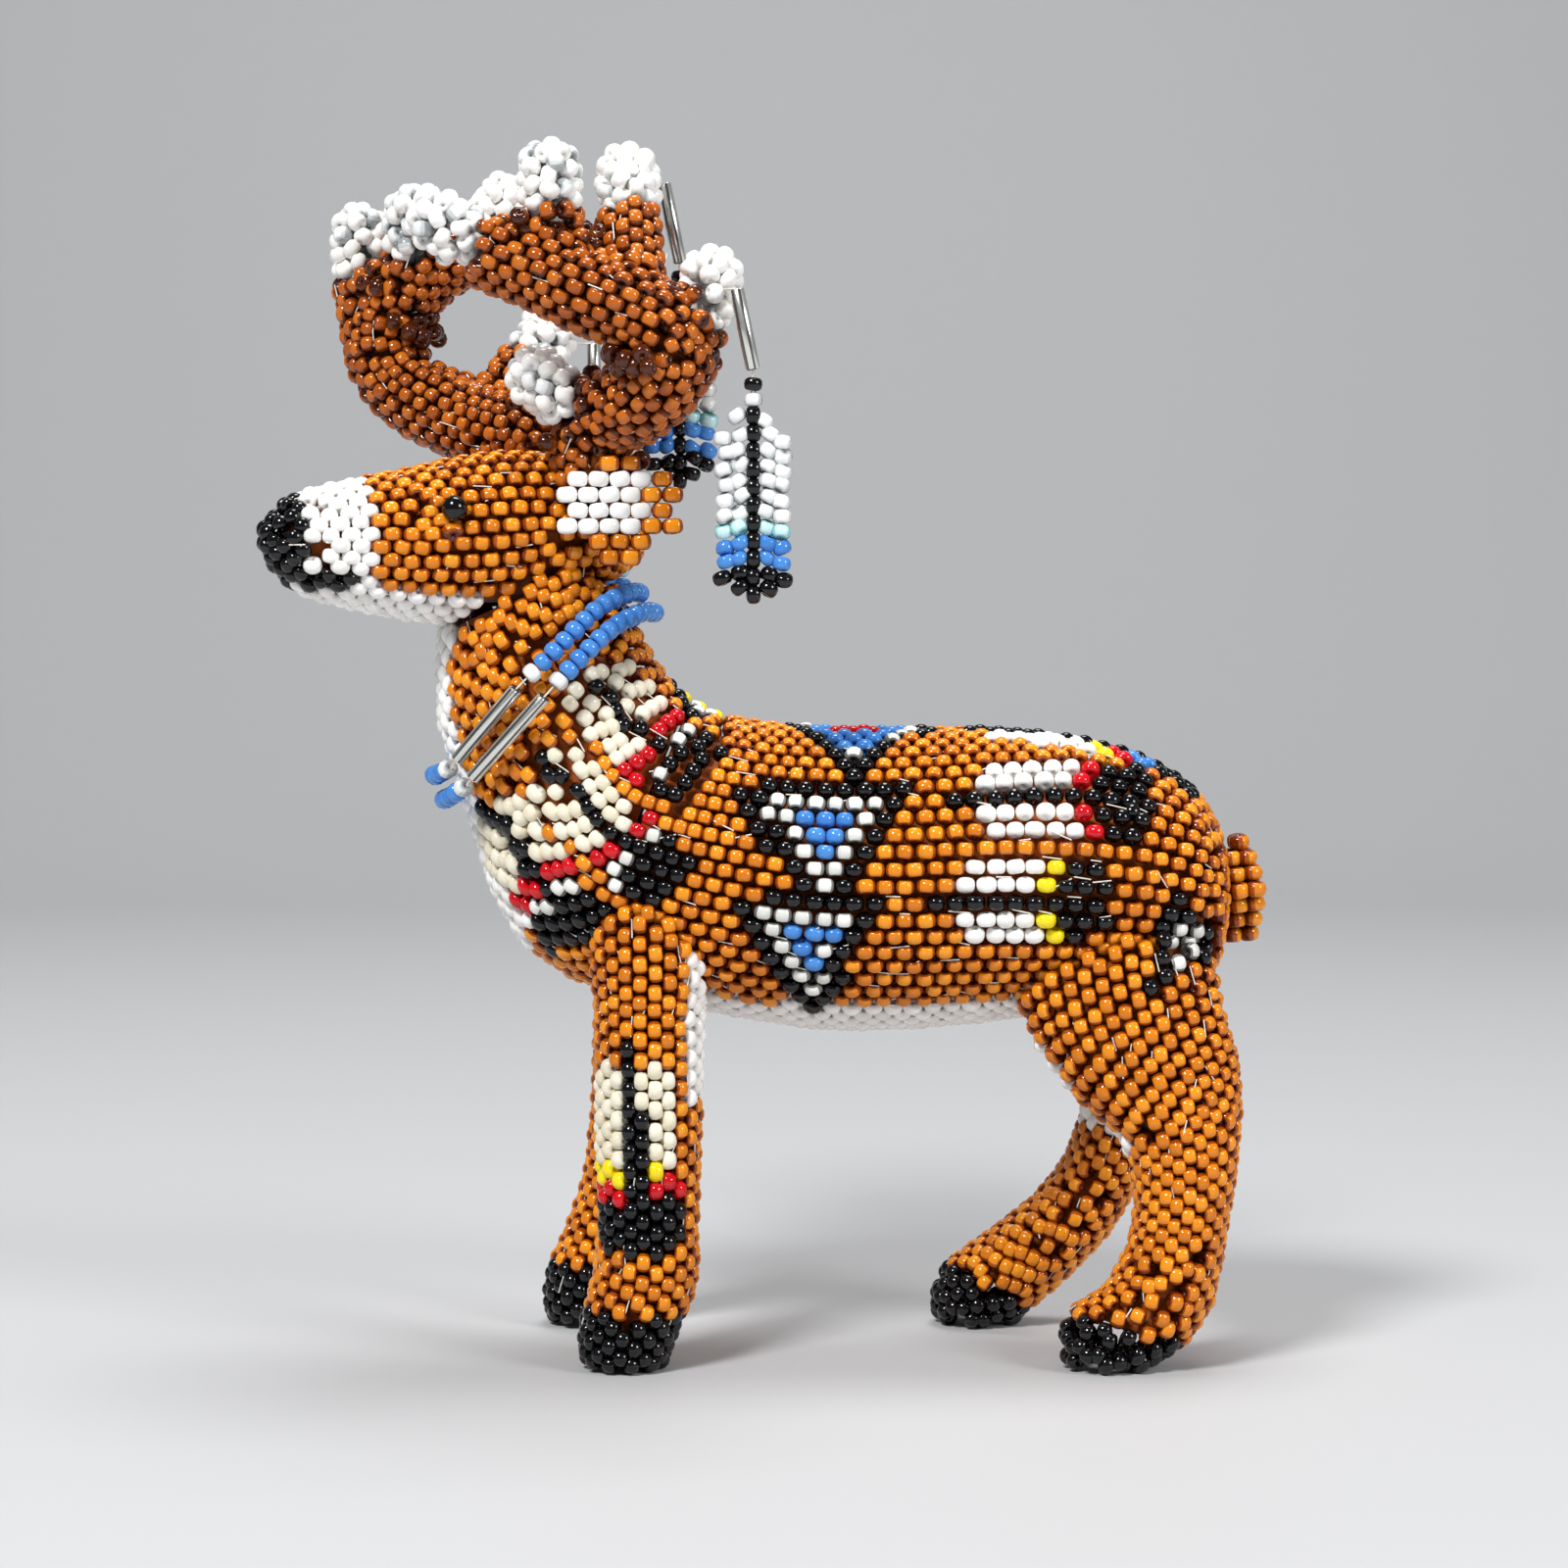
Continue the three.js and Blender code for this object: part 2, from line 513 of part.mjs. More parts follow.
for (const { side, antler, hollow } of antlers) {
  const end = antler.beam.length - 1;
  const beams = [
    tubeSolid(antler.beam, BEAM_RADIUS, BEAM_RADIUS, { end: antler.split - BEAM_GAP }),
    tubeSolid(antler.beam, BEAM_RADIUS, BEAM_RADIUS * BEAM_TAPER, {
      start: antler.split + BEAM_GAP, end,
    }),
  ];
  const caps = {};
  for (const [name, tine] of Object.entries(antler.tines)) {
    const stem = tubeSolid([tine.from, tine.to], TINE_RADIUS, TINE_RADIUS, { steps: 2 });
    const middle = new THREE.Vector3(...tine.cap);
    const reach = middle.clone().sub(new THREE.Vector3(...tine.to)).setLength(CAP_REACH);
    const crown = middle.clone().add(reach).toArray();
    const heel = middle.clone().sub(reach).toArray();
    caps[name] = ball(crown, CROWN_RADIUS).add(ball(heel, HEEL_RADIUS));
    beams[tine.seat] = beams[tine.seat].add(stem);
    tine.clearance = ball(crown, CROWN_RADIUS + GAP).add(ball(heel, HEEL_RADIUS + GAP));
  }
  beams[0] = beams[0].subtract(tubeSolid(antler.beam, BEAM_RADIUS + GAP, BEAM_RADIUS + GAP, {
    start: antler.split - BEAM_GAP, end,
  }));
  const wrap = BEAM_RADIUS - CORE_INSET;
  let core = tubeSolid(antler.beam, wrap, wrap, { end: end - 0.6, sides: 8 });
  for (const tine of Object.values(antler.tines)) {
    beams[0] = beams[0].subtract(tine.clearance);
    beams[1] = beams[1].subtract(tine.clearance);
    core = core.subtract(tine.clearance);
    if (tine.seat === 1) {
      const from = new THREE.Vector3(...tine.from);
      const to = new THREE.Vector3(...tine.to);
      const foot = from.clone().addScaledVector(to.clone().sub(from).normalize(), -GAP);
      const wide = TINE_RADIUS + GAP;
      beams[0] = beams[0].subtract(tubeSolid([foot.toArray(), tine.to], wide, wide, { steps: 2 }));
    }
  }
  const clearOfEar = beams[0].subtract(ear(side === 'left' ? 1 : -1, GAP));
  const lower = clearOfEar.subtract(hollow).subtract(headGrown);
  addMesh(`antler_${side}_lower`, toGeometry(lower), COLOUR.antler);
  addMesh(`antler_${side}_upper`, toGeometry(beams[1].subtract(hollow)), COLOUR.antler);
  addMesh(`antler_${side}_core`, toGeometry(core.subtract(headHollow)), COLOUR.cloth, 0.9);
  for (const [name, cap] of Object.entries(caps)) {
    addMesh(`antler_${side}_${name}_cap`, toGeometry(cap.subtract(headGrown)), COLOUR.white);
  }
}

// ---------------------------------------------------------------- tail

const tail = outlineSolid(TAIL, { sides: LEG_SIDES, steps: 8 }).subtract(trunkGrown);
addMesh('tail', toGeometry(tail), COLOUR.amber);

// ---------------------------------------------------------------- hanging feathers

function featherSolid(x, y, top) {
  const w = FEATHER.width / 2;
  const bottom = -FEATHER.stem - FEATHER.length;
  const vane = new THREE.Shape();
  vane.moveTo(-w * 0.35, -FEATHER.stem);
  vane.lineTo(w * 0.35, -FEATHER.stem);
  vane.lineTo(w, -FEATHER.stem - FEATHER.shoulder);
  vane.lineTo(w * 0.95, bottom + 3.6);
  vane.quadraticCurveTo(w * 0.7, bottom + 0.6, 0, bottom);
  vane.quadraticCurveTo(-w * 0.7, bottom + 0.6, -w * 0.95, bottom + 3.6);
  vane.lineTo(-w, -FEATHER.stem - FEATHER.shoulder);
  vane.closePath();
  const plate = new THREE.ExtrudeGeometry(vane, {
    depth: FEATHER.thickness, bevelEnabled: false, curveSegments: 4,
  });
  plate.translate(0, 0, -FEATHER.thickness / 2);
  plate.rotateX(Math.PI / 2);
  const stem = new THREE.CylinderGeometry(0.95, 0.95, FEATHER.stem + 0.5, 10);
  stem.rotateX(Math.PI / 2);
  stem.translate(0, 0, -(FEATHER.stem + 0.5) / 2);
  const whole = toSolid(plate).add(toSolid(stem));
  return whole.translate(x, y, top);
}

for (const [name, pendant] of Object.entries(PENDANTS)) {
  const bugle = tubeSolid([pendant.top, pendant.bottom], BUGLE_RADIUS, BUGLE_RADIUS, {
    sides: 10, steps: 2,
  });
  addMesh(`pendant_${name}_bugle`, toGeometry(bugle), COLOUR.silver, 0.1);
  const feather = featherSolid(pendant.bottom[0], pendant.bottom[1], pendant.bottom[2] - 0.5);
  addMesh(`pendant_${name}_feather`, toGeometry(feather), COLOUR.feather, 0.1);
}

// ---------------------------------------------------------------- necklace

const mirrored = (points) => points.map(([x, y, z]) => [x, -y, z]);
const acrossMiddle = (points) => [...mirrored(points.slice(1)).reverse(), ...points];

for (const [name, strand] of Object.entries(STRANDS)) {
  const nape = acrossMiddle(strand.nape);
  const front = acrossMiddle([...strand.front].reverse());
  const napeSolid = tubeSolid(nape, STRAND_RADIUS, STRAND_RADIUS, { sides: 8 });
  const frontSolid = tubeSolid(front, STRAND_RADIUS, STRAND_RADIUS, { sides: 8 });
  addMesh(`necklace_${name}_nape_beads`, toGeometry(napeSolid), COLOUR.blue);
  addMesh(`necklace_${name}_front_beads`, toGeometry(frontSolid), COLOUR.blue);
  const shape = { sides: 8, steps: 2 };
  const left = tubeSolid(strand.bugle, BUGLE_RADIUS, BUGLE_RADIUS, shape);
  const right = tubeSolid(mirrored(strand.bugle), BUGLE_RADIUS, BUGLE_RADIUS, shape);
  addMesh(`necklace_${name}_bugle_left`, toGeometry(left), COLOUR.silver, 0.1);
  addMesh(`necklace_${name}_bugle_right`, toGeometry(right), COLOUR.silver, 0.1);
}

// ---------------------------------------------------------------- origin

// The origin is the middle of the figure's footprint, on the ground.
const bounds = new THREE.Box3().setFromObject(figure);
const middle = bounds.getCenter(new THREE.Vector3());
figure.position.set(-middle.x, -middle.y, -bounds.min.z);

export default figure;
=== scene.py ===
"""The looks of a thread-sewn beaded deer: every seed bead is its own ring of glass.

Lengths are millimetres until a mesh is made. Side positions are written in the frame that
the carving dimensions use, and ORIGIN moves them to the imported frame.
"""

import math

import bpy
import numpy as np
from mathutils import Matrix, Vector
from mathutils.bvhtree import BVHTree


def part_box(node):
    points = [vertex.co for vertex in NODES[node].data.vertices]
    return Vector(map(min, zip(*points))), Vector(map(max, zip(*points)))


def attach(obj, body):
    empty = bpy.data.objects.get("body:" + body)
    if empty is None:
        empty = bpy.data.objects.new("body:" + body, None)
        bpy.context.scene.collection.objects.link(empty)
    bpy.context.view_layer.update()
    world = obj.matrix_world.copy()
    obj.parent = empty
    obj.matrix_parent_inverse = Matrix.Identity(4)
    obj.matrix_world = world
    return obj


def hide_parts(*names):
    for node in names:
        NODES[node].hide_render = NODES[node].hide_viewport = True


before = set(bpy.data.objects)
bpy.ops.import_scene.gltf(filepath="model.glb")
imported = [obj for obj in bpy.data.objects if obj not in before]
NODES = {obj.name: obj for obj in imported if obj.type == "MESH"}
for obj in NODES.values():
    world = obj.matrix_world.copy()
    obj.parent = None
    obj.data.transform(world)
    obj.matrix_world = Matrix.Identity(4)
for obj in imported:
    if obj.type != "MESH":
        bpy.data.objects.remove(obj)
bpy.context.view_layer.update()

rng = np.random.default_rng(11)

# ---- driving dimensions

ROW = 1.0            # distance between bead rows along a limb: half a bead, as rows interlock
PITCH = 3.0          # distance between beads of one row round a limb
BEAD_LONG = 1.42     # length along the hole
BEAD_WIDE = 1.98     # diameter
BEAD_DEPTH = 1.05    # depth of a bead's centre under the skin
ANGLES = 96          # rays cast round a limb in each plane
CLEARANCE = 0.72     # least distance between beads in the weave, in bead sizes
FILL = 0.76          # the same where the holes between rows are closed
UNDER = 0.9          # how deep a bead must lie in another limb to be left out
LOWEST = 1.02        # lowest height of a bead's centre, so that no bead passes the floor
STITCH_SHARE = 0.14  # share of the beads that show a stitch of thread
PIECE_BEADS = 740    # most beads in one mesh
CAP_TRIES = 220      # places tried for a bead on each cap
CAP_NUDGE = 0.12     # unevenness of a cap's beads
CLEAR_SHARE = 0.22   # share of clear beads in the white caps
STRUNG_PITCH = 1.5   # distance between the strung beads of the necklace
BUGLE_RADIUS = 0.75
COLUMN = 1.38        # distance between the bead columns of a hanging feather

HEAD_YAW = math.radians(18)
HEAD_PIVOT = (-22.0, 0.0)

TRUNK = [  # the two edges seen from the side: X, Z above, X, Z below, and half the width
    (47.0, 49.4, 46.9, 43.0, 3.5), (46.1, 54.0, 46.0, 39.0, 8.6), (42.9, 58.4, 43.4, 36.8, 11.6),
    (37.0, 61.7, 37.5, 35.4, 13.6), (30.0, 63.3, 30.0, 34.2, 14.5), (21.0, 64.0, 21.0, 33.0, 14.8),
    (12.0, 63.9, 12.0, 32.3, 14.8), (3.0, 64.2, 2.0, 32.6, 14.8), (-3.6, 65.0, -7.0, 34.6, 14.6),
    (-6.6, 66.2, -15.5, 36.4, 14.0), (-8.8, 67.8, -23.0, 38.7, 13.2),
    (-10.4, 69.6, -27.6, 44.3, 12.3), (-11.8, 71.8, -29.9, 50.8, 11.6),
    (-13.0, 74.0, -31.8, 57.4, 10.8), (-14.2, 76.3, -33.9, 63.0, 9.9),
    (-15.2, 79.0, -34.2, 69.0, 9.3), (-15.8, 82.0, -34.0, 75.5, 8.8),
]
LEGS = {  # the same, with the middle across the body before the half-width
    "front_left": [
        (-5.0, 50.0, -19.0, 50.0, -7.5, 5.5), (-5.5, 43.0, -18.5, 42.0, -8.6, 6.0),
        (-6.1, 36.0, -17.9, 36.0, -9.5, 5.7), (-6.3, 29.0, -17.7, 29.0, -10.2, 5.5),
        (-6.5, 20.0, -17.7, 20.0, -10.8, 5.3), (-6.9, 12.0, -17.3, 12.6, -11.3, 5.0),
        (-6.7, 7.4, -18.2, 8.2, -11.6, 5.3), (-8.6, 4.2, -19.2, 5.2, -11.8, 5.5),
        (-9.6, 0.8, -19.3, 1.5, -12.0, 5.2), (-11.0, -2.0, -18.2, -2.0, -12.0, 4.0)],
    "front_right": [
        (-5.5, 50.0, -19.0, 50.0, 7.5, 5.5), (-6.2, 43.0, -18.8, 42.0, 8.6, 6.0),
        (-7.7, 36.0, -18.5, 36.0, 9.5, 5.6), (-8.6, 29.0, -18.9, 29.0, 10.2, 5.3),
        (-9.2, 20.0, -19.3, 20.5, 10.8, 5.1), (-11.2, 11.6, -20.7, 13.0, 11.3, 4.8),
        (-12.4, 7.0, -22.8, 8.6, 11.6, 5.1), (-13.8, 4.2, -24.0, 5.6, 11.8, 5.4),
        (-14.8, 0.8, -24.2, 1.7, 12.0, 5.1), (-16.4, -2.0, -23.2, -2.0, 12.0, 4.0)],
    "rear_left": [
        (44.2, 48.0, 25.0, 46.0, -6.8, 5.5), (44.9, 41.0, 24.0, 38.0, -8.0, 6.2),
        (46.2, 35.0, 26.5, 31.5, -8.8, 6.2), (47.7, 29.5, 31.4, 25.5, -9.6, 5.9),
        (47.4, 24.0, 35.9, 21.5, -10.3, 5.5), (46.3, 15.5, 36.0, 15.0, -11.0, 5.1),
        (45.1, 8.6, 34.4, 9.2, -11.5, 5.1), (43.4, 3.6, 30.9, 7.2, -11.8, 5.2),
        (39.2, 0.6, 28.7, 4.4, -12.0, 5.3), (37.0, -1.6, 28.8, 1.2, -12.0, 4.8),
        (35.4, -2.8, 30.4, -1.4, -12.0, 3.6)],
    "rear_right": [
        (43.8, 48.0, 25.0, 46.0, 6.8, 5.5), (43.8, 41.0, 24.6, 38.0, 8.0, 6.2),
        (43.4, 34.5, 27.5, 31.5, 8.8, 6.1), (43.2, 27.0, 31.5, 26.0, 9.6, 5.7),
        (41.5, 20.3, 32.4, 22.0, 10.3, 5.3), (38.6, 13.9, 29.7, 16.2, 10.9, 5.0),
        (35.2, 8.2, 25.5, 11.9, 11.4, 5.0), (30.5, 3.6, 20.4, 8.5, 11.8, 5.1),
        (26.8, 0.6, 17.6, 5.9, 12.0, 5.2), (24.2, -2.0, 16.6, 2.2, 12.0, 4.7),
        (22.6, -3.2, 18.0, -0.8, 12.0, 3.6)],
}
BEAM_RADIUS = 4.7
TINE_RADIUS = 3.7
ANTLERS = {
    "left": {
        "beam": [(-18.4, -3.4, 88.0), (-17.2, -5.8, 94.0), (-11.6, -12.6, 97.2),
                 (-9.0, -15.2, 101.2), (-12.4, -15.6, 104.4), (-17.4, -15.2, 106.4),
                 (-22.6, -14.2, 108.8), (-27.6, -13.2, 110.8)],
        "tines": {"brow": [(-17.0, -6.6, 94.8), (-20.0, -7.2, 96.0)],
                  "back": [(-8.8, -15.0, 101.6), (-6.6, -14.2, 103.9)],
                  "top_rear": [(-13.2, -14.6, 105.5), (-14.0, -9.8, 114.4)],
                  "top_front": [(-20.6, -14.6, 108.0), (-21.5, -13.8, 114.4)],
                  "front": [(-26.0, -13.4, 110.2), (-28.0, -13.1, 111.0)]},
    },
    "right": {
        "beam": [(-22.0, 4.0, 87.0), (-23.6, 5.2, 92.4), (-29.3, 9.0, 94.4),
                 (-36.4, 13.0, 97.5), (-40.0, 15.0, 101.1), (-40.6, 15.5, 105.3),
                 (-38.2, 15.0, 109.2), (-35.2, 14.4, 111.6), (-32.4, 13.8, 113.2)],
        "tines": {"brow": [(-28.6, 9.4, 95.6), (-25.6, 13.0, 100.8)],
                  "outer": [(-41.6, 15.8, 103.0), (-43.0, 16.6, 110.2)],
                  "top": [(-38.0, 15.0, 105.4), (-37.6, 12.4, 112.4)],
                  "inner": [(-33.4, 14.0, 112.2), (-31.0, 13.7, 114.0)]},
    },
}
STRANDS = {
    "inner": {
        "nape": [(-13.2, 0, 77.2), (-14.5, -5.2, 77.2), (-17.2, -8.9, 75.6),
                 (-20.6, -11.2, 72.2), (-24.0, -11.9, 68.8)],
        "front": [(-31.9, -7.6, 59.8), (-33.5, -4.2, 58.9), (-34.2, 0, 58.7)],
        "bugle": [(-25.0, -11.9, 67.8), (-31.2, -8.6, 60.6)],
    },
    "outer": {
        "nape": [(-11.7, 0, 75.2), (-13.1, -5.8, 75.2), (-15.8, -9.9, 73.6),
                 (-18.6, -12.1, 70.9), (-21.3, -12.9, 68.0)],
        "front": [(-30.2, -9.2, 58.1), (-32.3, -5.4, 56.6), (-33.2, 0, 56.2)],
        "bugle": [(-22.2, -13.0, 67.0), (-29.6, -10.0, 58.8)],
    },
}
PENDANTS = {
    "back": [(-3.1, -18.2, 106.7), (-1.5, -18.2, 98.9)],
    "top": [(-10.6, -3.0, 118.4), (-9.0, -3.0, 110.4)],
    "brow": [(-18.7, 17.7, 103.6), (-18.6, 17.7, 95.4)],
}


def box_middle(node):
    low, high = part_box(node)
    return np.array((low + high) / 2) * 1000


# The tube bead of the back pendant is straight, so its box gives the frame's origin.
ORIGIN = box_middle("pendant_back_bugle") - np.mean(PENDANTS["back"], axis=0)

# ---- camera, light, floor

camera_data = bpy.data.cameras.new("camera")
camera_data.lens, camera_data.sensor_width = 90, 36
camera = bpy.data.objects.new("camera", camera_data)
camera.location = (0.0020, -0.400, 0.078)
camera.rotation_euler = (math.radians(90 - 2.9), 0, 0)
bpy.context.scene.collection.objects.link(camera)
bpy.context.scene.camera = camera


def lamp(name, place, target, size, power):
    data = bpy.data.lights.new(name, "AREA")
    data.shape, data.size, data.energy = "DISK", size, power
    ob = bpy.data.objects.new(name, data)
    ob.location = place
    ob.rotation_mode = "QUATERNION"
    ob.rotation_quaternion = (Vector(target) - Vector(place)).to_track_quat("-Z", "Y")
    bpy.context.scene.collection.objects.link(ob)


lamp("key", (-0.35, -0.55, 0.75), (0, 0, 0.06), 0.26, 8.6)
lamp("fill", (0.60, -0.45, 0.40), (0, 0, 0.06), 0.30, 3.2)
lamp("top", (0.05, 0.15, 0.90), (0, 0, 0.06), 0.40, 4.6)
bpy.context.scene.view_settings.view_transform = "Standard"

world = bpy.data.worlds.new("studio")
bpy.context.scene.world = world
world.use_nodes = True
world.node_tree.nodes["Background"].inputs["Color"].default_value = (0.80, 0.81, 0.83, 1)
world.node_tree.nodes["Background"].inputs["Strength"].default_value = 0.21


def sweep():
    """A pale floor that curves up into a plain backdrop."""
    profile = [(-3.0, 0.0), (0.55, 0.0)]
    for i in range(1, 17):
        a = math.pi / 2 * i / 16
        profile.append((0.55 + 0.35 * math.sin(a), 0.35 - 0.35 * math.cos(a)))
    profile.append((0.90, 2.4))
    verts = [(x, y, z) for y, z in profile for x in (-3.2, 3.2)]
    faces = [(2 * i, 2 * i + 1, 2 * i + 3, 2 * i + 2) for i in range(len(profile) - 1)]
    mesh = bpy.data.meshes.new("studio_floor")
    mesh.from_pydata(verts, [], faces)
    mesh.shade_smooth()
    ob = bpy.data.objects.new("studio_floor", mesh)
    bpy.context.scene.collection.objects.link(ob)
    mat = bpy.data.materials.new("studio_paper")
    mat.use_nodes = True
    shader = mat.node_tree.nodes["Principled BSDF"]
    shader.inputs["Base Color"].default_value = (0.50, 0.505, 0.515, 1)
    shader.inputs["Roughness"].default_value = 0.62
    mesh.materials.append(mat)


sweep()

# ---- materials


def linear(colour):
    return tuple(c / 3294.6 if c <= 10.31 else ((c / 255 + 0.055) / 1.055) ** 2.4 for c in colour)


def noisy(name, scale, detail):
    """A new material with a noise texture: its nodes, links, shader and noise, and itself."""
    mat = bpy.data.materials.new(name)
    mat.use_nodes = True
    nodes, links = mat.node_tree.nodes, mat.node_tree.links
    place = nodes.new("ShaderNodeTexCoord")
    noise = nodes.new("ShaderNodeTexNoise")
    noise.inputs["Scale"].default_value = scale
    noise.inputs["Detail"].default_value = detail
    links.new(place.outputs["Object"], noise.inputs["Vector"])
    return nodes, links, nodes["Principled BSDF"].inputs, noise.outputs["Fac"], mat


def glass(name, colour, rough=(0.06, 0.16), metallic=0.0):
    """Gloss glass: a plain body colour, and a surface whose polish varies from place to place."""
    nodes, links, shader, noise, mat = noisy(name, 900, 3)
    shader["Base Color"].default_value = (*linear(colour), 1)
    shader["Metallic"].default_value = metallic
    shader["IOR"].default_value = 1.50
    spread = nodes.new("ShaderNodeMapRange")
    spread.inputs["To Min"].default_value, spread.inputs["To Max"].default_value = rough
    links.new(noise, spread.inputs["Value"])
    links.new(spread.outputs["Result"], shader["Roughness"])
    return mat


def felt(name, dark, pale, scale):
    """Brushed cloth: matted fibres, with colour and height from the same noise."""
    nodes, links, shader, noise, mat = noisy(name, scale, 6)
    shader["Roughness"].default_value = 0.95
    shader["Sheen Weight"].default_value = 0.35
    ramp = nodes.new("ShaderNodeValToRGB")
    ramp.color_ramp.elements[0].color = (*linear(dark), 1)
    ramp.color_ramp.elements[1].color = (*linear(pale), 1)
    bump = nodes.new("ShaderNodeBump")
    bump.inputs["Strength"].default_value = 0.5
    bump.inputs["Distance"].default_value = 0.0002
    links.new(noise, ramp.inputs["Fac"])
    links.new(ramp.outputs["Color"], shader["Base Color"])
    links.new(noise, bump.inputs["Height"])
    links.new(bump.outputs["Normal"], shader["Normal"])
    return mat


def lined(name, core, flank_glass_and_shade, rim_glass_and_shade):
    """A colour-lined bead: bright lining, the glass beside it, and the deep edge; the glass beside it
    and the edge are darker copies, partly the glass's own colour and partly painted shade.
    """
    return [glass(f"{name}_{part}", c) for part, c in (("core", core), ("flank_glass_and_shade", flank_glass_and_shade), ("rim_glass_and_shade", rim_glass_and_shade))]


def solid(name, *shades):
    """Opaque glass: the same material on every face of a bead, in a few close shades."""
    return [[glass(f"{name}_{i}", c, (0.05, 0.14))] * 3 for i, c in enumerate(shades)]


# Each kind of bead is a list of shades, and each shade is three materials: the lining's core, the
# glass beside it, and the deep edge; in lined beads the last two are darker copies carrying painted
# shade.
KINDS = {
    "amber": [lined("amber_a", (230, 138, 15), (164, 76, 8), (106, 39, 5)),
              lined("amber_b", (220, 127, 12), (154, 69, 7), (98, 35, 4)),
              lined("amber_c", (238, 148, 23), (172, 83, 11), (112, 43, 6)),
              lined("amber_d", (208, 118, 11), (144, 62, 7), (90, 31, 4))],
    "antler": [lined("antler_a", (182, 92, 18), (118, 52, 8), (70, 26, 5)),
               lined("antler_b", (166, 80, 14), (108, 46, 7), (64, 23, 4)),
               lined("antler_c", (198, 106, 24), (130, 60, 11), (78, 31, 6))],
    "tail": [lined("tail_a", (206, 98, 14), (162, 70, 9), (110, 42, 5))],
    "white": solid("white", (247, 246, 243), (241, 239, 234), (250, 249, 247)),
    "pearl": solid("pearl", (238, 231, 210), (231, 222, 198)),
    "black": solid("black", (5, 5, 7), (9, 9, 12)),
    "blue": solid("blue", (72, 138, 214), (64, 128, 205)),
    "red": solid("red", (206, 14, 26), (192, 10, 22)),
    "yellow": solid("yellow", (248, 224, 24), (242, 214, 18)),
    # Silver-lined beads: the bright core is the silver lining as a painted reflection, and the greys
    # beside it and at the edge are painted shade.
    "silver": [lined("silver_a", (238, 238, 232), (138, 137, 132), (62, 60, 58)),
               lined("silver_b", (218, 218, 212), (112, 111, 107), (50, 48, 46))],
    # Clear beads: the white core is a painted highlight, and the greys around it are painted shade.
    "clear": [lined("clear_a", (246, 247, 246), (216, 219, 219), (172, 177, 178)),
              lined("clear_b", (232, 234, 233), (196, 200, 201), (150, 155, 157))],
    # Aqua beads: the tint is the glass's own colour, with a painted highlight at the core and painted
    # shade at the edge.
    "aqua": [lined("aqua_a", (196, 232, 232), (150, 206, 208), (108, 168, 172))],
}
THREAD = glass("thread", (232, 226, 214), (0.5, 0.8))
# The felt and wire-wrap colours are partly the cloth's own brown and partly a painted glow. They are
# lifted brighter to stand for light shining through the amber beads into the gaps, and to offset the
# shade there.
FELT_WITH_GLOW = felt("core_felt", (158, 72, 16), (196, 98, 28), 2600)
WRAP_WITH_GLOW = felt("wire_wrap", (112, 50, 12), (150, 72, 20), 3400)

# ---- one bead

PROFILE = [(-0.71, 0.36), (-0.70, 0.55), (-0.62, 0.76), (-0.40, 0.935), (0.0, 1.0),
           (0.40, 0.935), (0.62, 0.76), (0.70, 0.55), (0.71, 0.36), (0.48, 0.08), (-0.48, 0.08)]
SPOKES = np.radians([-42, -14, 14, 42, 68, 98, 132, 164, 196, 228, 262, 292])


def quads(count, spokes, closed, base=0):
    """Faces between the rings of a turned shape, and from its last ring to its first if closed."""
    faces = []
    for i in range(count if closed else count - 1):
        low, high = base + i * spokes, base + (i + 1) % count * spokes
        for k in range(spokes):
            m = (k + 1) % spokes
            faces.append((low + k, low + m, high + m, high + k))
    return faces


def unit_bead():
    """Vertices, quads, and each quad's zone: 0 the lining, on the outward side; 1 the glass beside it;
    2 the ends, the hole and the back, which lined beads paint darkest as painted shade.
    """
    verts = [(x, r * math.sin(a), r * math.cos(a)) for x, r in PROFILE for a in SPOKES]
    zones = []
    for i in range(len(PROFILE)):
        for k in range(len(SPOKES)):
            # The lining takes the outward faces only, and the faces around it get the darker materials
            # of lined beads: painted shade towards the bead's sides, ends and back.
            middle = k < 3 and 2 <= i <= 5
            beside = (k < 4 or k == len(SPOKES) - 1) and 1 <= i <= 6
            zones.append(0 if middle else 1 if beside else 2)
    faces = quads(len(PROFILE), len(SPOKES), True)
    return np.array(verts), np.array(faces), np.array(zones)


UNIT_V, UNIT_F, UNIT_ZONE = unit_bead()


class Beads:
    """Beads gathered for one piece: place, axes (hole, across, outwards), size and kind."""

    def __init__(self):
        self.place, self.axes, self.size, self.kind = [], [], [], []

    def add(self, place, hole, out, kind, size=(1, 1, 1)):
        hole = np.asarray(hole, float)
        out = np.asarray(out, float)
        out = out - hole * (out @ hole) / max(hole @ hole, 1e-9)
        if out @ out < 1e-6:
            out = np.cross(hole, (0.3, 0.5, 0.8))
        hole, out = hole / np.linalg.norm(hole), out / max(np.linalg.norm(out), 1e-9)
        self.place.append(np.asarray(place, float))
        self.axes.append((hole, np.cross(out, hole), out))
        self.size.append(size)
        self.kind.append(kind)


def link_mesh(name, verts, faces, materials, indices):
    """A mesh object from arrays in millimetres, with one material index per face."""
    mesh = bpy.data.meshes.new(name)
    faces = np.asarray(faces, np.int32)
    mesh.vertices.add(len(verts))
    mesh.vertices.foreach_set("co", (np.asarray(verts) / 1000).astype(np.float32).ravel())
    mesh.loops.add(faces.size)
    mesh.loops.foreach_set("vertex_index", faces.ravel())
    mesh.polygons.add(len(faces))
    starts = np.arange(0, faces.size, faces.shape[1], dtype=np.int32)
    mesh.polygons.foreach_set("loop_start", starts)
    for material in materials:
        mesh.materials.append(material)
    mesh.polygons.foreach_set("material_index", np.asarray(indices, np.int32))
    mesh.polygons.foreach_set("use_smooth", np.full(len(faces), True))
    mesh.update()
    mesh.validate()
    ob = bpy.data.objects.new(name, mesh)
    bpy.context.scene.collection.objects.link(ob)
    return ob


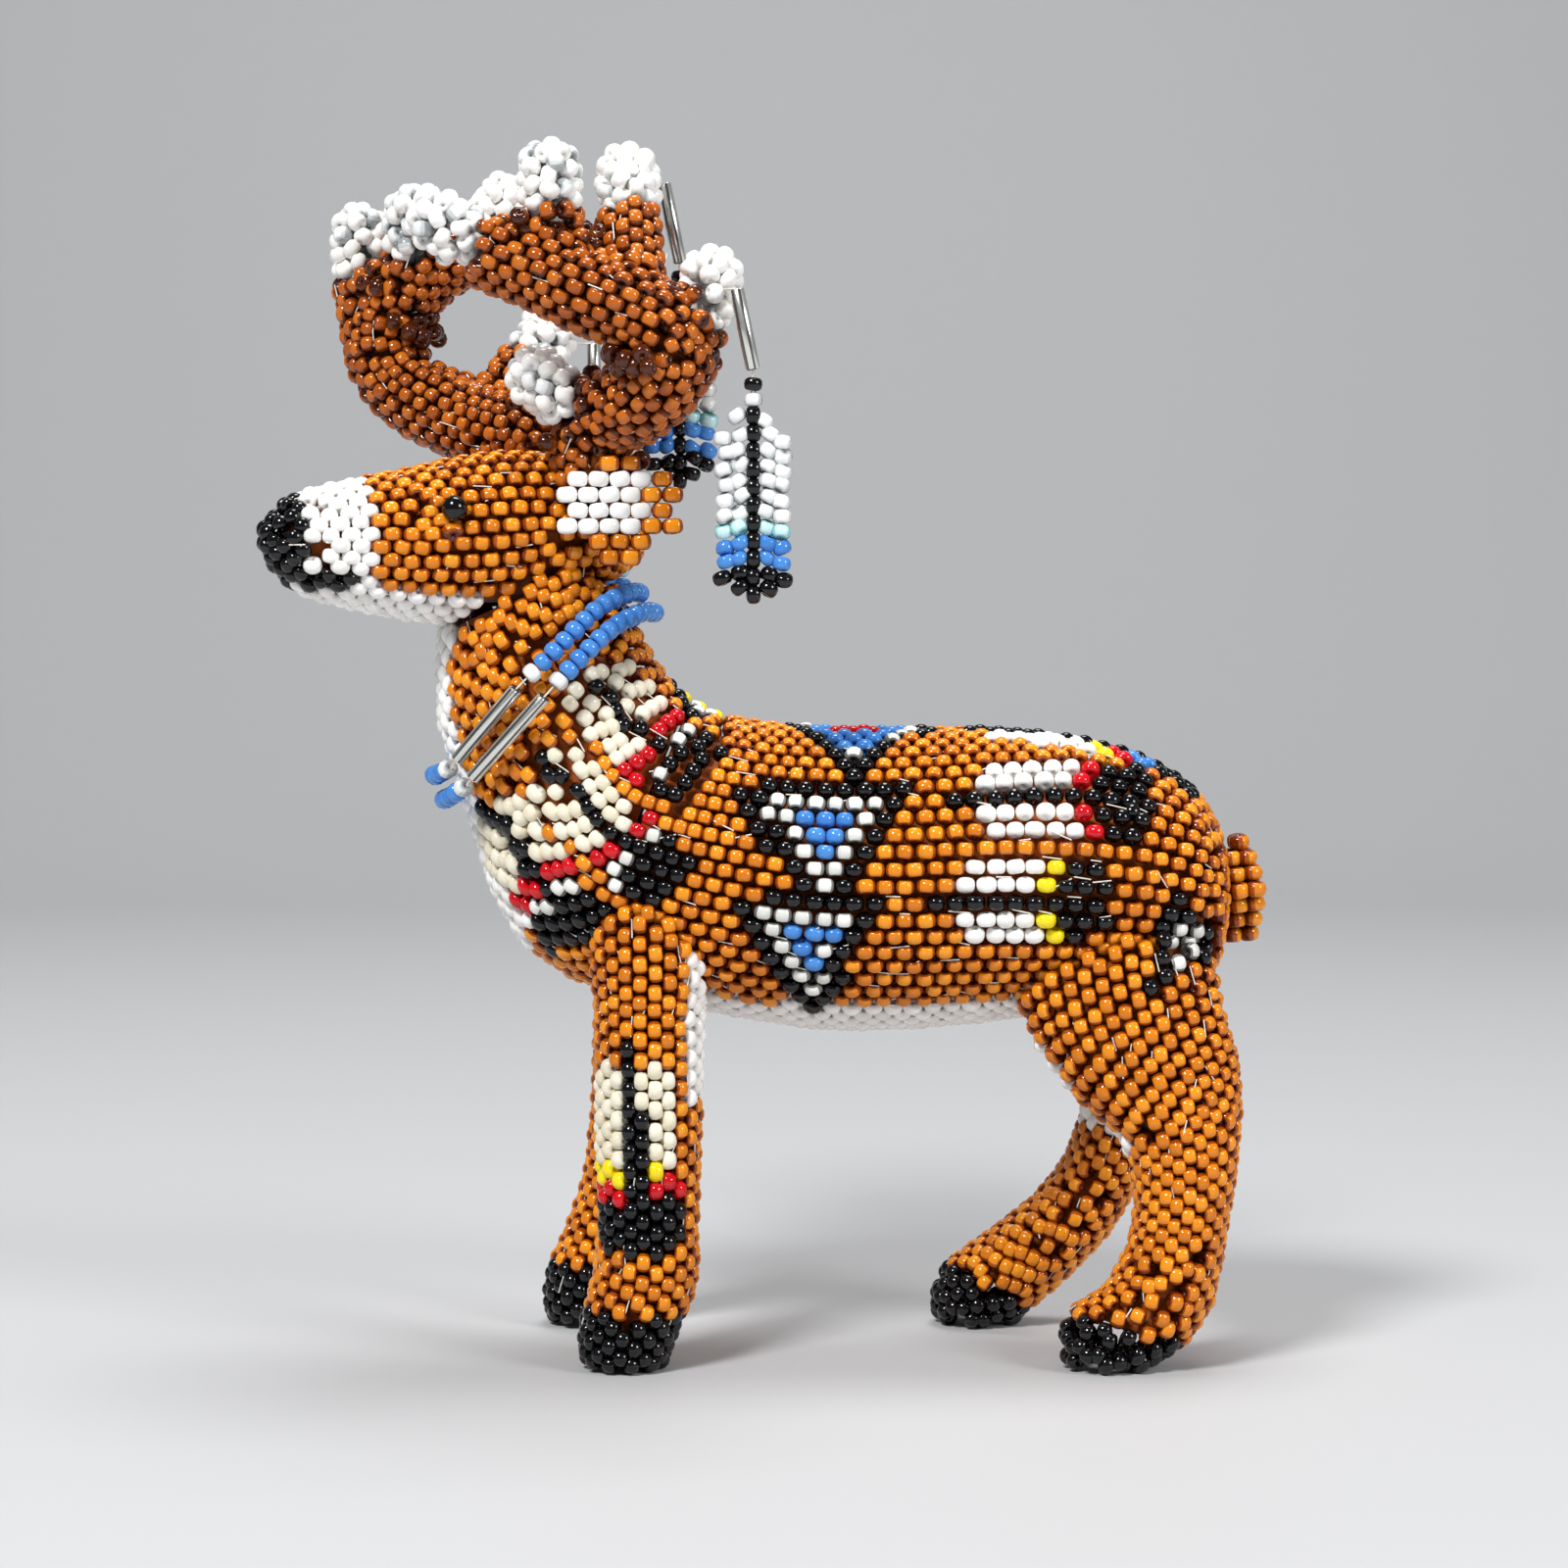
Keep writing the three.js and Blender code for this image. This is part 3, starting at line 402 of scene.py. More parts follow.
def bead_piece(name, beads, body, nodes):
    """One joined mesh of beads that rides on a body and stands for CAD nodes."""
    if not beads.place:
        return None
    count = len(beads.place)
    place = np.array(beads.place)
    axes = np.array(beads.axes)
    size = np.array(beads.size, float)
    tilt = rng.normal(0, 0.07, (count, 3))
    hole = axes[:, 0] + axes[:, 1] * tilt[:, :1] + axes[:, 2] * tilt[:, 1:2]
    hole /= np.linalg.norm(hole, axis=1)[:, None]
    out = axes[:, 2] - hole * np.sum(axes[:, 2] * hole, 1)[:, None] + axes[:, 1] * tilt[:, 2:]
    out -= hole * np.sum(out * hole, 1)[:, None]
    out /= np.linalg.norm(out, axis=1)[:, None]
    basis = np.stack([hole, np.cross(out, hole), out], 1)
    scale = size * rng.uniform(0.965, 1.025, (count, 1))
    verts = np.einsum("nvi,nij->nvj", UNIT_V[None] * scale[:, None], basis) + place[:, None]
    faces = UNIT_F[None] + (np.arange(count) * len(UNIT_V))[:, None, None]
    materials, index, per_face = [], {}, np.zeros((count, len(UNIT_F)), np.int32)
    for i, kind in enumerate(beads.kind):
        shades = KINDS[kind]
        shade = shades[int(rng.integers(len(shades)))]
        lookup = []
        for material in shade:
            if material.name not in index:
                index[material.name] = len(materials)
                materials.append(material)
            lookup.append(index[material.name])
        # Each face takes its zone's material, which puts the painted shade of lined beads on their
        # sides, ends and back.
        per_face[i] = np.array(lookup)[UNIT_ZONE]
    ob = link_mesh(name, verts.reshape(-1, 3), faces.reshape(-1, 4), materials, per_face.ravel())
    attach(ob, body)
    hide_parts(*nodes)
    return ob


# ---- skins and rows


class Skin:
    """The outside of some CAD nodes, found by rays cast inwards."""

    def __init__(self, *names):
        verts, polys, self.owner, self.names = [], [], [], names
        for k, name in enumerate(names):
            mesh, base = NODES[name].data, len(verts)
            verts += [v.co * 1000 for v in mesh.vertices]
            polys += [[base + i for i in p.vertices] for p in mesh.polygons]
            self.owner += [k] * len(mesh.polygons)
        self.tree = BVHTree.FromPolygons(verts, polys)

    def outermost(self, centre, direction, reach):
        start = Vector(centre + direction * reach)
        hit, _, face, distance = self.tree.ray_cast(start, Vector(-direction), reach)
        if hit is None:
            return None, -1
        return np.array(hit), self.owner[face]


def run_along(line):
    """The distance run along a line at each of its points."""
    return np.concatenate([[0], np.cumsum(np.linalg.norm(np.diff(line, axis=0), axis=1))])


def curve(points, samples):
    """A smooth line through points, as evenly spaced samples."""
    p = np.asarray(points, float)
    p = np.vstack([2 * p[0] - p[1], p, 2 * p[-1] - p[-2]])
    dense = []
    for i in range(1, len(p) - 2):
        for t in np.linspace(0, 1, 24, endpoint=False):
            a, b, c, d = p[i - 1:i + 3]
            dense.append(0.5 * (2 * b + (c - a) * t + (2 * a - 5 * b + 4 * c - d) * t ** 2
                                + (3 * b - a - 3 * c + d) * t ** 3))
    dense.append(p[-2])
    dense = np.array(dense)
    run = run_along(dense[:, :3])
    at = np.linspace(0, run[-1], samples)
    return np.stack([np.interp(at, run, dense[:, k]) for k in range(p.shape[1])], 1)


def frames_along(line, up):
    """Centres with two axes square to the line, the first kept near `up`."""
    ahead = np.gradient(line, axis=0)
    ahead /= np.linalg.norm(ahead, axis=1)[:, None]
    first, second = [], []
    guide = np.asarray(up, float)
    for a in ahead:
        u = guide - a * (guide @ a)
        u /= np.linalg.norm(u)
        guide = u
        first.append(u)
        second.append(np.cross(a, u))
    return line, np.array(first), np.array(second)


def rings(skin, centres, first, second, expected, tolerance):
    """The skin's outline in each plane: points, owning node, and whether each ray met it."""
    angle = np.arange(ANGLES) * 2 * math.pi / ANGLES
    shape = (len(centres), ANGLES)
    points, owner, met = np.zeros((*shape, 3)), np.full(shape, -1), np.zeros(shape, bool)
    for k, centre in enumerate(centres):
        for i, a in enumerate(angle):
            direction = first[k] * math.cos(a) + second[k] * math.sin(a)
            should = expected(k, a)
            hit, who = skin.outermost(centre, direction, should + tolerance + 1.2)
            points[k, i] = centre + direction * should
            if hit is not None and abs(np.linalg.norm(hit - centre) - should) < tolerance:
                points[k, i], owner[k, i], met[k, i] = hit, who, True
    whole = met.any(1)
    for k in np.where(~whole)[0]:  # a plane that falls in the seam between two nodes
        near = [j for j in range(max(k - 4, 0), min(k + 5, len(centres))) if whole[j]]
        if near:
            j = min(near, key=lambda j: abs(j - k))
            owner[k], met[k] = owner[j], met[j]
    return points, owner, met


def pick_rows(points, owner, met, spacing):
    """Rows a fixed distance apart, measured where the rows fan out."""
    apart = np.linalg.norm(np.diff(points, axis=0), axis=2)
    step = np.maximum(np.median(apart, axis=1), 0.84 * np.percentile(apart, 80, axis=1))
    run = np.concatenate([[0], np.cumsum(step)])
    wanted = np.arange(spacing * 0.3, run[-1], spacing)
    rows = np.clip(np.searchsorted(run, wanted), 0, len(points) - 1)
    return points[rows], owner[rows], met[rows]


def normals_of(points):
    """Directions square to a grid of points, facing out."""
    round_ = np.roll(points, -1, 1) - np.roll(points, 1, 1)
    along = np.gradient(points, axis=0)
    normal = np.cross(round_, along)
    length = np.linalg.norm(normal, axis=2)
    outwards = points - points.mean(1, keepdims=True)
    if np.sum(normal * outwards) < 0:
        normal = -normal
    return normal / np.maximum(length, 1e-9)[..., None]


def weave(rows):
    """Bead positions as fractions round each row. Every bead sits between two of the row before;
    a bead is added where the gap has grown and dropped where it has closed."""
    closed = np.concatenate([rows, rows[:, :1]], 1)
    run = np.concatenate([np.zeros((len(rows), 1)),
                          np.cumsum(np.linalg.norm(np.diff(closed, axis=1), axis=2), 1)], 1)
    grid = np.arange(ANGLES + 1) / ANGLES
    found, before = [], None
    for k in range(len(rows)):
        total = run[k, -1]
        if before is None or len(before) < 3 or total < 9:
            count = max(1, round(total / PITCH))
            at = (np.arange(count) + 0.5 * (k % 2)) * total / count
        else:
            after = np.roll(before, -1).copy()
            after[-1] += 1
            at = np.sort(np.interp(((before + after) / 2) % 1, grid, run[k]))
            for _ in range(3):
                gap = np.diff(np.append(at, at[0] + total))
                wide = np.where(gap > PITCH * 1.34)[0]
                at = np.sort(np.append(at, (at[wide] + gap[wide] / 2) % total))
                gap = np.diff(np.append(at, at[0] + total))
                tight = np.argmin(gap)
                if gap[tight] < PITCH * 0.66 and len(at) > 3:
                    at = np.delete(at, tight)
            for _ in range(2):
                back, ahead = np.roll(at, 1), np.roll(at, -1)
                back[0] -= total
                ahead[-1] += total
                at = at + 0.2 * ((back + ahead) / 2 - at)
            at = np.sort(at % total)
        before = np.interp(at, run[k], grid)
        found.append(before)
    return found


class Crowd:
    """Bead centres already placed, in a grid, to keep new ones clear of them."""

    def __init__(self, cell=2.0):
        self.cell, self.held = cell, {}

    def _near(self, p):
        a, b, c = (int(math.floor(x / self.cell)) for x in p)
        for i in (a - 1, a, a + 1):
            for j in (b - 1, b, b + 1):
                for k in (c - 1, c, c + 1):
                    yield from self.held.get((i, j, k), ())

    def free(self, p, distance, hole=None):
        """True if no bead lies within `distance`, counted in bead lengths along the hole and
        bead widths across it where a hole direction is given."""
        for q in self._near(p):
            x, y, z = p[0] - q[0], p[1] - q[1], p[2] - q[2]
            if hole is None:
                apart = x * x + y * y + z * z
            else:
                along = x * hole[0] + y * hole[1] + z * hole[2]
                across = x * x + y * y + z * z - along * along
                apart = (along / BEAD_LONG) ** 2 + across / BEAD_WIDE ** 2
            if apart < distance * distance:
                return False
        return True

    def put(self, p):
        key = tuple(int(math.floor(x / self.cell)) for x in p)
        self.held.setdefault(key, []).append(tuple(p))


CROWD = Crowd()
STITCHES = []


def sheath(points, owner, met, names, paint, inside):
    """Sews beads over a skin's rows, then closes the holes that the rows leave."""

    def put(rows, k, fraction, distance):
        points, owner, met, centres, normal, spread = rows
        at = fraction * ANGLES
        i, t = int(at) % ANGLES, at - int(at)
        j = (i + 1) % ANGLES
        if not (met[k, i] and met[k, j]):
            return
        p = centres[k, i] * (1 - t) + centres[k, j] * t
        out = normal[k, i] * (1 - t) + normal[k, j] * t
        hole = points[k, j] - points[k, i]
        length = np.linalg.norm(hole)
        if length < 1e-6 or p[2] < 0.1 or inside(p):
            return
        p[2] = max(p[2], LOWEST)
        h = hole / length
        if not CROWD.free(p, distance, h):
            return
        CROWD.put(p)
        kind = paint(p - ORIGIN, out, names[owner[k, i]])
        wide = min(max(spread[k, i], 0.88), 1.22)
        pile_for(names[owner[k, i]], kind).add(p, hole, out, kind, (1.0, wide, min(wide, 1.1)))
        if rng.random() < STITCH_SHARE and p[2] > 5:
            across = np.cross(out, h)
            start = p + h * 0.78 + out * 0.42 - across * 0.5
            reach = across * rng.uniform(1.0, 2.2) + h * rng.normal(0, 0.5)
            STITCHES.append((start, start + reach, out))

    def laid(spacing):
        points_, owner_, met_ = pick_rows(points, owner, met, spacing)
        normal = normals_of(points_)
        centres = points_ - normal * BEAD_DEPTH
        spread = np.linalg.norm(np.gradient(centres, axis=0), axis=2) / spacing
        return points_, owner_, met_, centres, normal, spread

    rows = laid(ROW)
    for k, fractions in enumerate(weave(rows[3])):
        for fraction in fractions:
            put(rows, k, fraction, CLEARANCE)
    fine = laid(ROW * 0.45)
    fine[5][:] = 1.0
    for k in range(len(fine[0])):
        for i in rng.permutation(ANGLES):
            put(fine, k, (i + 0.01) / ANGLES, FILL)


def close_end(skin, tip, inwards, first, second, kind):
    """Sews rings of beads over the blunt end of a skin, where its rows stop."""
    for ring in range(5):
        count = max(1, round(math.pi * ring * 1.9))
        for i in range(count):
            a = 2 * math.pi * (i + 0.5 * (ring % 2)) / count
            beside = (first * math.cos(a) + second * math.sin(a)) * ring * 2.0
            start = Vector(tip + beside - inwards * 6)
            hit, out, face, _ = skin.tree.ray_cast(start, Vector(inwards), 14)
            if hit is None:
                continue
            out = np.array(out)
            p = np.array(hit) - out * BEAD_DEPTH
            if not CROWD.free(p, 1.3):
                continue
            CROWD.put(p)
            hole = second * math.cos(a) - first * math.sin(a)
            pile_for(skin.names[skin.owner[face]], kind).add(p, hole, out, kind)


GATHERED = {}
SLOTS = {"amber": "amber_beads", "antler": "antler_beads", "white": "white_beads",
         "black": "black_beads"}


def pile_for(node, kind):
    """The pile a bead joins: one per node for plain kinds, and one for its pattern beads."""
    group = kind if kind in SLOTS else "pattern"
    if group == "black" and not node.endswith("hoof") and not node.startswith("nose"):
        group = "pattern"
    return GATHERED.setdefault((node, group), Beads())


# ---- the pattern


def in_triangle(x, z, a, b, c):
    """How deep a point lies inside a triangle, as a signed distance from its edges."""
    depth = 1e9
    turn = (b[0] - a[0]) * (c[1] - a[1]) - (b[1] - a[1]) * (c[0] - a[0])
    for p, q in ((a, b), (b, c), (c, a)):
        ex, ez = q[0] - p[0], q[1] - p[1]
        side = (ex * (z - p[1]) - ez * (x - p[0])) / math.hypot(ex, ez)
        depth = min(depth, side if turn > 0 else -side)
    return depth


def triangle(x, z, middle, half, top, tip):
    """A triangle that points down: one row of black above, black sides, a border of
    silver-lined beads, and blue beads at its heart."""
    below, height = top - z, top - tip
    beside = (half * (1 - below / height) - abs(x - middle)) * height / math.hypot(height, half)
    if below < 0 or beside < 0:
        return None
    if below < 1.5 or beside < 1.65:
        return "black"
    return "silver" if below < 3.0 or beside < 3.25 else "blue"


def thigh_mark(x, z):
    """The small triangle that lies over the join of the rump and the rear leg."""
    depth = in_triangle(x, z, (36.6, 35.6), (39.6, 48.6), (45.9, 42.6))
    if depth > 0:
        return "black" if depth < 1.45 else "silver"
    return None


def feather(x, z, start, end, half, bands, vane="white", quill=2.6):
    """A feather from its quill to its tip: vanes on both sides of a black quill, coloured
    bands across them, and a black tip. `bands` lists the colours and where each one ends."""
    ax, az = end[0] - start[0], end[1] - start[1]
    length = math.hypot(ax, az)
    along = ((x - start[0]) * ax + (z - start[1]) * az) / length
    across = abs((x - start[0]) * az - (z - start[1]) * ax) / length
    if along < 0 or along > length:
        return None
    if along < quill:
        return "black" if across < 0.75 else None
    width = half * min(1.0, 0.62 + 0.2 * (along - quill))
    width = min(width, half * (0.55 + 0.35 * (length - along)))
    if across > width:
        return None
    tip = bands[-1][0]
    if along > tip:
        return "black"
    if across < 0.8:
        return "black"
    for end_at, colour in bands:
        if along < end_at:
            return colour or vane
    return "black"


def paint_trunk(p, out, node):
    x, y, z = p
    if abs(out[1]) > 0.30:
        found = (
            triangle(x, z, 5.0, 9.4, 58.2, 44.6)
            or triangle(x, z, 4.2, 8.8, 47.4, 34.4)
        )
        if found:
            return found
        if abs(x - 3.9) < 2.0 and abs(z - 48.2) < 1.7:
            return "black"
        found = (
            feather(x, z, (17.8, 57.2), (38.0, 56.0), 3.5,
                    [(12.9, None), (15.0, "red"), (15.1, "black")])
            or feather(x, z, (15.8, 46.9), (34.0, 46.9), 3.7,
                       [(10.8, None), (13.0, "yellow"), (13.1, "black")])
        )
        if found:
            return found
        found = thigh_mark(x, z) or (
            feather(x, z, (-19.6, 69.4), (-6.4, 57.6), 3.9,
                    [(10.2, None), (12.2, "red"), (13.4, "silver")], "pearl", 1.2)
            or feather(x, z, (-23.6, 61.0), (-9.0, 47.6), 3.7,
                       [(11.4, None), (13.3, "red"), (14.8, "silver")], "pearl", 1.4)
            or feather(x, z, (-29.0, 56.6), (-18.0, 42.6), 3.6,
                       [(9.4, None), (11.6, "red"), (12.9, "silver")], "pearl", 1.2)
        )
        if found:
            return found
    if 1.0 < x < 18.4 and out[2] > 0.45:
        # The saddle diamond, measured round the back from the ridge.
        girth = math.atan2(abs(y), z - 48.0) * 15.2
        reach = 11.8 * (1 - abs(x - 8.2) / (9.4 if x > 8.2 else 7.0))
        if girth < reach:
            if girth > reach - 2.3:
                return "black"
            if girth > reach - 4.1:
                return "silver"
            return "red" if girth < 1.7 and abs(x - 8.6) < 2.4 else "blue"
    if 20.0 < x < 43.0 and out[2] > 0.5 and abs(y) < 4.4:
        if abs(y) < 0.9 or x > 38.6:
            return "black"
        if x > 22.4:
            if x < 32.6:
                return "white"
            if x < 34.4:
                return "yellow"
            if x < 36.4:
                return "red"
            return "blue"
    if -10.6 < x < -3.4 and z > 64.4 and out[2] > 0.3:
        reach = 5.2 - abs(x + 7.0)
        if abs(y) < reach:
            return "black" if abs(y) > reach - 2.0 else ("yellow" if abs(y) < 1.0 else "silver")
    if out[2] < -0.80 and x > -8:
        return "white"
    if out[2] < -0.55 and -9.0 < x < 25.0 and z < 36.6:
        return "white"
    if x < -16.0 and out[0] < -0.60 and z < 53 and abs(y) < 9.6:
        return "white"
    if out[0] < -0.74 and z >= 53 and abs(y) < 4.6:
        return "white"
    return "amber"


def head_place(p):
    """A point's distance forwards, to the left, and height, on the head's own axes."""
    x, y = p[0] - HEAD_PIVOT[0], p[1] - HEAD_PIVOT[1]
    forward = -x * math.cos(HEAD_YAW) - y * math.sin(HEAD_YAW)
    left = x * math.sin(HEAD_YAW) - y * math.cos(HEAD_YAW)
    return forward, left, p[2]


def paint_head(p, out, node):
    forward, left, height = head_place(p)
    if node == "nose_beadwork":
        return "black" if height > 78.4 else "white"
    if node == "muzzle_beadwork":
        return "black" if abs(height - 79.0) < 0.85 and forward > 21.8 else "white"
    if out[2] < -0.62 and forward > -1.0:
        return "white"
    return "amber"


def paint_leg(p, out, node):
    x, y, z = p
    if node.endswith("hoof"):
        return "black"
    outer = out[1] * (1 if y > 0 else -1)
    if node.startswith("front"):
        shift = 0.0 if y < 0 else -1.6
        if outer > 0.15:
            found = feather(x - shift, -z, (-13.9, -33.2), (-12.4, -11.6), 3.9,
                            [(12.4, None), (14.2, "yellow"), (16.1, "red"), (16.2, "black")],
                            "pearl", 2.6)
            if found:
                return found
        if z > 27 and (out[0] > 0.70 or (outer < -0.35 and out[0] > -0.2)):
            return "white"
        return "amber"
    if outer > 0.15 and thigh_mark(x, z):
        return thigh_mark(x, z)
    if 21.5 < z < 33 and (outer < -0.35 or (out[0] < -0.70 and outer < 0.30)):
        return "white"
    return "amber"


# ---- torso and neck

trunk_skin = Skin("torso_beadwork", "neck_beadwork")
stations = curve(TRUNK, 520)
trunk_centre = np.stack([(stations[:, 0] + stations[:, 2]) / 2, np.zeros(len(stations)),
                         (stations[:, 1] + stations[:, 3]) / 2], 1) + ORIGIN
upwards = np.stack([stations[:, 0] - stations[:, 2], np.zeros(len(stations)),
                    stations[:, 1] - stations[:, 3]], 1) / 2
tall = np.linalg.norm(upwards, axis=1)
trunk_up = upwards / tall[:, None]
trunk_side = np.tile((0.0, 1.0, 0.0), (len(stations), 1))


def oval(a, b, angle):
    """The radius of an ellipse at an angle from its half-axis `a`."""
    return a * b / math.hypot(b * math.cos(angle), a * math.sin(angle))


def trunk_radius(k, angle):
    return oval(tall[k], max(stations[k, 4], 0.5), angle)


trunk_rings = rings(trunk_skin, trunk_centre, trunk_up, trunk_side, trunk_radius, 2.4)
trunk_axis = np.cross(trunk_up, trunk_side)


def in_trunk(p):
    """True if a point lies under the trunk's skin."""
    offset = p - trunk_centre
    past = np.abs(np.sum(offset * trunk_axis, 1))
    k = int(np.argmin(past + 0.02 * np.linalg.norm(offset, axis=1)))
    if past[k] > 0.8:
        return False
    u, v = offset[k] @ trunk_up[k], offset[k] @ trunk_side[k]
    return math.hypot(u, v) < trunk_radius(k, math.atan2(v, u)) - UNDER


def in_head(p):
    """True if a point lies under the head's skin."""
    forward, left, height = head_place(p - ORIGIN)
    if not HEAD_BACK < forward < HEAD_FRONT:
        return False
    k = int(np.argmin(np.abs(head_at - forward)))
    u, v = height - head_mid[k], left
    return math.hypot(u, v) < oval(head_tall[k], head_half[k], math.atan2(v, u)) - UNDER


# ---- head

head_skin = Skin("head_beadwork", "muzzle_beadwork", "nose_beadwork")
HEAD = [  # distance forwards, height above and below, half the width
    (-9.8, 86.5, 81.5, 3.0), (-8.6, 88.8, 79.6, 5.6), (-5.0, 90.4, 77.6, 7.8),
    (0.0, 91.8, 75.2, 8.8), (5.0, 92.1, 73.6, 9.2), (10.0, 91.4, 73.5, 8.9),
    (15.0, 90.2, 74.1, 7.9), (20.0, 89.2, 75.0, 6.6), (25.0, 88.0, 76.2, 5.7),
    (28.2, 87.0, 77.9, 4.6), (29.8, 85.4, 79.8, 2.9), (30.3, 84.4, 81.2, 1.4),
]
HEAD_BACK, HEAD_FRONT = HEAD[0][0], HEAD[-1][0]
head_at = np.linspace(HEAD_BACK + 0.05, HEAD_FRONT - 0.05, 300)
table = np.array(HEAD)
head_top, head_low, head_half = (np.interp(head_at, table[:, 0], table[:, k]) for k in (1, 2, 3))
head_mid, head_tall = (head_top + head_low) / 2, (head_top - head_low) / 2
forwards = np.array([-math.cos(HEAD_YAW), -math.sin(HEAD_YAW), 0.0])
leftwards = np.array([math.sin(HEAD_YAW), -math.cos(HEAD_YAW), 0.0])
head_centre = (np.array([*HEAD_PIVOT, 0.0]) + ORIGIN + head_at[:, None] * forwards
               + head_mid[:, None] * np.array([0, 0, 1.0]))
head_up = np.tile((0.0, 0.0, 1.0), (len(head_at), 1))
head_side = np.tile(leftwards, (len(head_at), 1))


def head_radius(k, angle):
    return oval(head_tall[k], head_half[k], angle)


head_rings = rings(head_skin, head_centre, head_up, head_side, head_radius, 1.0)
for eye in ("eye_left", "eye_right"):
    for offset in (0, 0.6, -0.6):
        CROWD.put(box_middle(eye) + np.array([0, 0, offset]))
sheath(*head_rings, head_skin.names, paint_head, in_trunk)
close_end(head_skin, head_centre[0], forwards, np.array([0, 0, 1.0]), leftwards, "amber")
sheath(*trunk_rings, trunk_skin.names, paint_trunk, in_head)

# ---- legs and hooves

for leg, table in LEGS.items():
    skin = Skin(f"{leg}_leg_beadwork", f"{leg}_hoof")
    line = curve(table, 300)
    centres = np.stack([(line[:, 0] + line[:, 2]) / 2, line[:, 4], (line[:, 1] + line[:, 3]) / 2], 1)
    edge = np.stack([line[:, 2] - line[:, 0], 0 * line[:, 0], line[:, 3] - line[:, 1]], 1) / 2
    deep = np.linalg.norm(edge, axis=1)
    across = np.tile((0.0, 1.0, 0.0), (len(line), 1))
    around = rings(skin, centres + ORIGIN, edge / deep[:, None], across,
                   lambda k, a: oval(deep[k], line[k, 5], a), 1.5)
    sheath(*around, skin.names, paint_leg, in_trunk)

# ---- antlers


def sew_limb(skin, points, samples, up, radius, tolerance):
    """A round limb of antler beads along a line."""
    line = curve(np.array(points) + ORIGIN, samples)
    found = rings(skin, *frames_along(line, up), lambda k, a: radius, tolerance)
    sheath(*found, skin.names, lambda p, out, node: "antler", in_head)


for side, antler in ANTLERS.items():
    skin = Skin(f"antler_{side}_lower", f"antler_{side}_upper")
    up = (0, 0, 1) if side == "left" else (0, 1, 0)
    sew_limb(skin, antler["beam"], 300, up, BEAM_RADIUS, 1.1)
    for ends in antler["tines"].values():
        sew_limb(skin, ends, 60, (1, 0.2, 0), TINE_RADIUS, 0.9)

# ---- lumpy caps


def cluster(node):
    """A rounded lump of beads that lie every way, sewn over a cap."""
    skin, centre = Skin(node), box_middle(node)
    pile, golden = Beads(), math.pi * (3 - math.sqrt(5))
    for i in range(CAP_TRIES):
        h = 1 - 2 * (i + 0.5) / CAP_TRIES
        r = math.sqrt(1 - h * h)
        way = np.array([r * math.cos(golden * i), r * math.sin(golden * i), h])
        hit, _ = skin.outermost(centre, way, 12)
        if hit is None:
            continue
        p = hit - way * (BEAD_DEPTH + rng.uniform(-CAP_NUDGE, CAP_NUDGE) + CAP_NUDGE)
        if not CROWD.free(p, 1.45):
            continue
        CROWD.put(p)
        hole = np.cross(way, rng.normal(size=3))
        kind = "clear" if rng.random() < CLEAR_SHARE else "white"
        pile.add(p, hole, way + rng.normal(0, 0.25, 3), kind, (1.06, 1.06, 1.06))
    return pile


for side, antler in ANTLERS.items():
    for tine in antler["tines"]:
        node = f"antler_{side}_{tine}_cap"
        bead_piece(f"{node}_beads", cluster(node), "figure", [node])

# ---- leaves: ears and tail


def leaf(node, lengthwise, upward, paint, layers, turn=0.0, thick=1.08):
    """A flat leaf of beads inside its own outline, with the beads' holes lengthwise. `layers`
    lists how far outwards each layer lies and which way it faces, `turn` rolls the edge beads
    over, and `thick` is their size through the leaf."""
    skin, pile = Skin(node), Beads()
    lengthwise = lengthwise / np.linalg.norm(lengthwise)
    upward = upward - lengthwise * (lengthwise @ upward)
    upward /= np.linalg.norm(upward)
    outward = np.cross(lengthwise, upward)
    centre = box_middle(node)
    if outward @ (centre - ORIGIN - (*HEAD_PIVOT, centre[2])) < 0:
        outward = -outward

    def held(a, b):
        p = centre + lengthwise * a + upward * b
        front = skin.tree.ray_cast(Vector(p + outward * 12), Vector(-outward), 24)[0]
        back = skin.tree.ray_cast(Vector(p - outward * 12), Vector(outward), 24)[0]
        return None if front is None or back is None else (np.array(front) + np.array(back)) / 2

    for i in range(-7, 8):
        for j in range(-7, 8):
            a, b = i * 1.56, j * 2.1 + (1.05 if i % 2 else 0)
            at = held(a, b)
            if at is None:
                continue
            edge = sum(held(a + 2.0 * math.cos(t), b + 2.0 * math.sin(t)) is None
                       for t in np.arange(8) * math.pi / 4)
            if edge > 5:
                continue
            for layer, facing in layers:
                spot = at + outward * layer
                if not CROWD.free(spot, 1.16 * thick):
                    continue
                CROWD.put(spot)
                out = outward * facing + upward * (b * turn)
                pile.add(spot, lengthwise, out, paint(edge, a, b), (1.08, 1.08, thick))
    return pile


def head_point(forward, left, height):
    """A place on the head's own axes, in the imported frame."""
    return (np.array([*HEAD_PIVOT, height]) + ORIGIN + forwards * forward + leftwards * left)


for name, side in (("ear_left", 1), ("ear_right", -1)):
    backwards = head_point(-9.6, side * 12.3, 85.3) - head_point(1.6, side * 9.4, 84.7)
    pile = leaf(name, np.array([0, 0, 1.0]), backwards,
                lambda edge, a, b: "amber" if b > 2.6 or (edge and (a < -2 or a > 4)) else "white",
                ((0.5, 1), (-0.5, -1)), 0.0, 0.7)
    bead_piece(f"{name}_beads", pile, "figure", [name])

pile = leaf("tail", np.array([0.1, 0, -1.0]), np.array([0, 1.0, 0]),
            lambda edge, a, b: "amber" if edge else "tail", ((0.2, 1), (-1.5, 1)), 0.5)
bead_piece("tail_beads", pile, "figure", ["tail"])

# ---- the sewn pieces

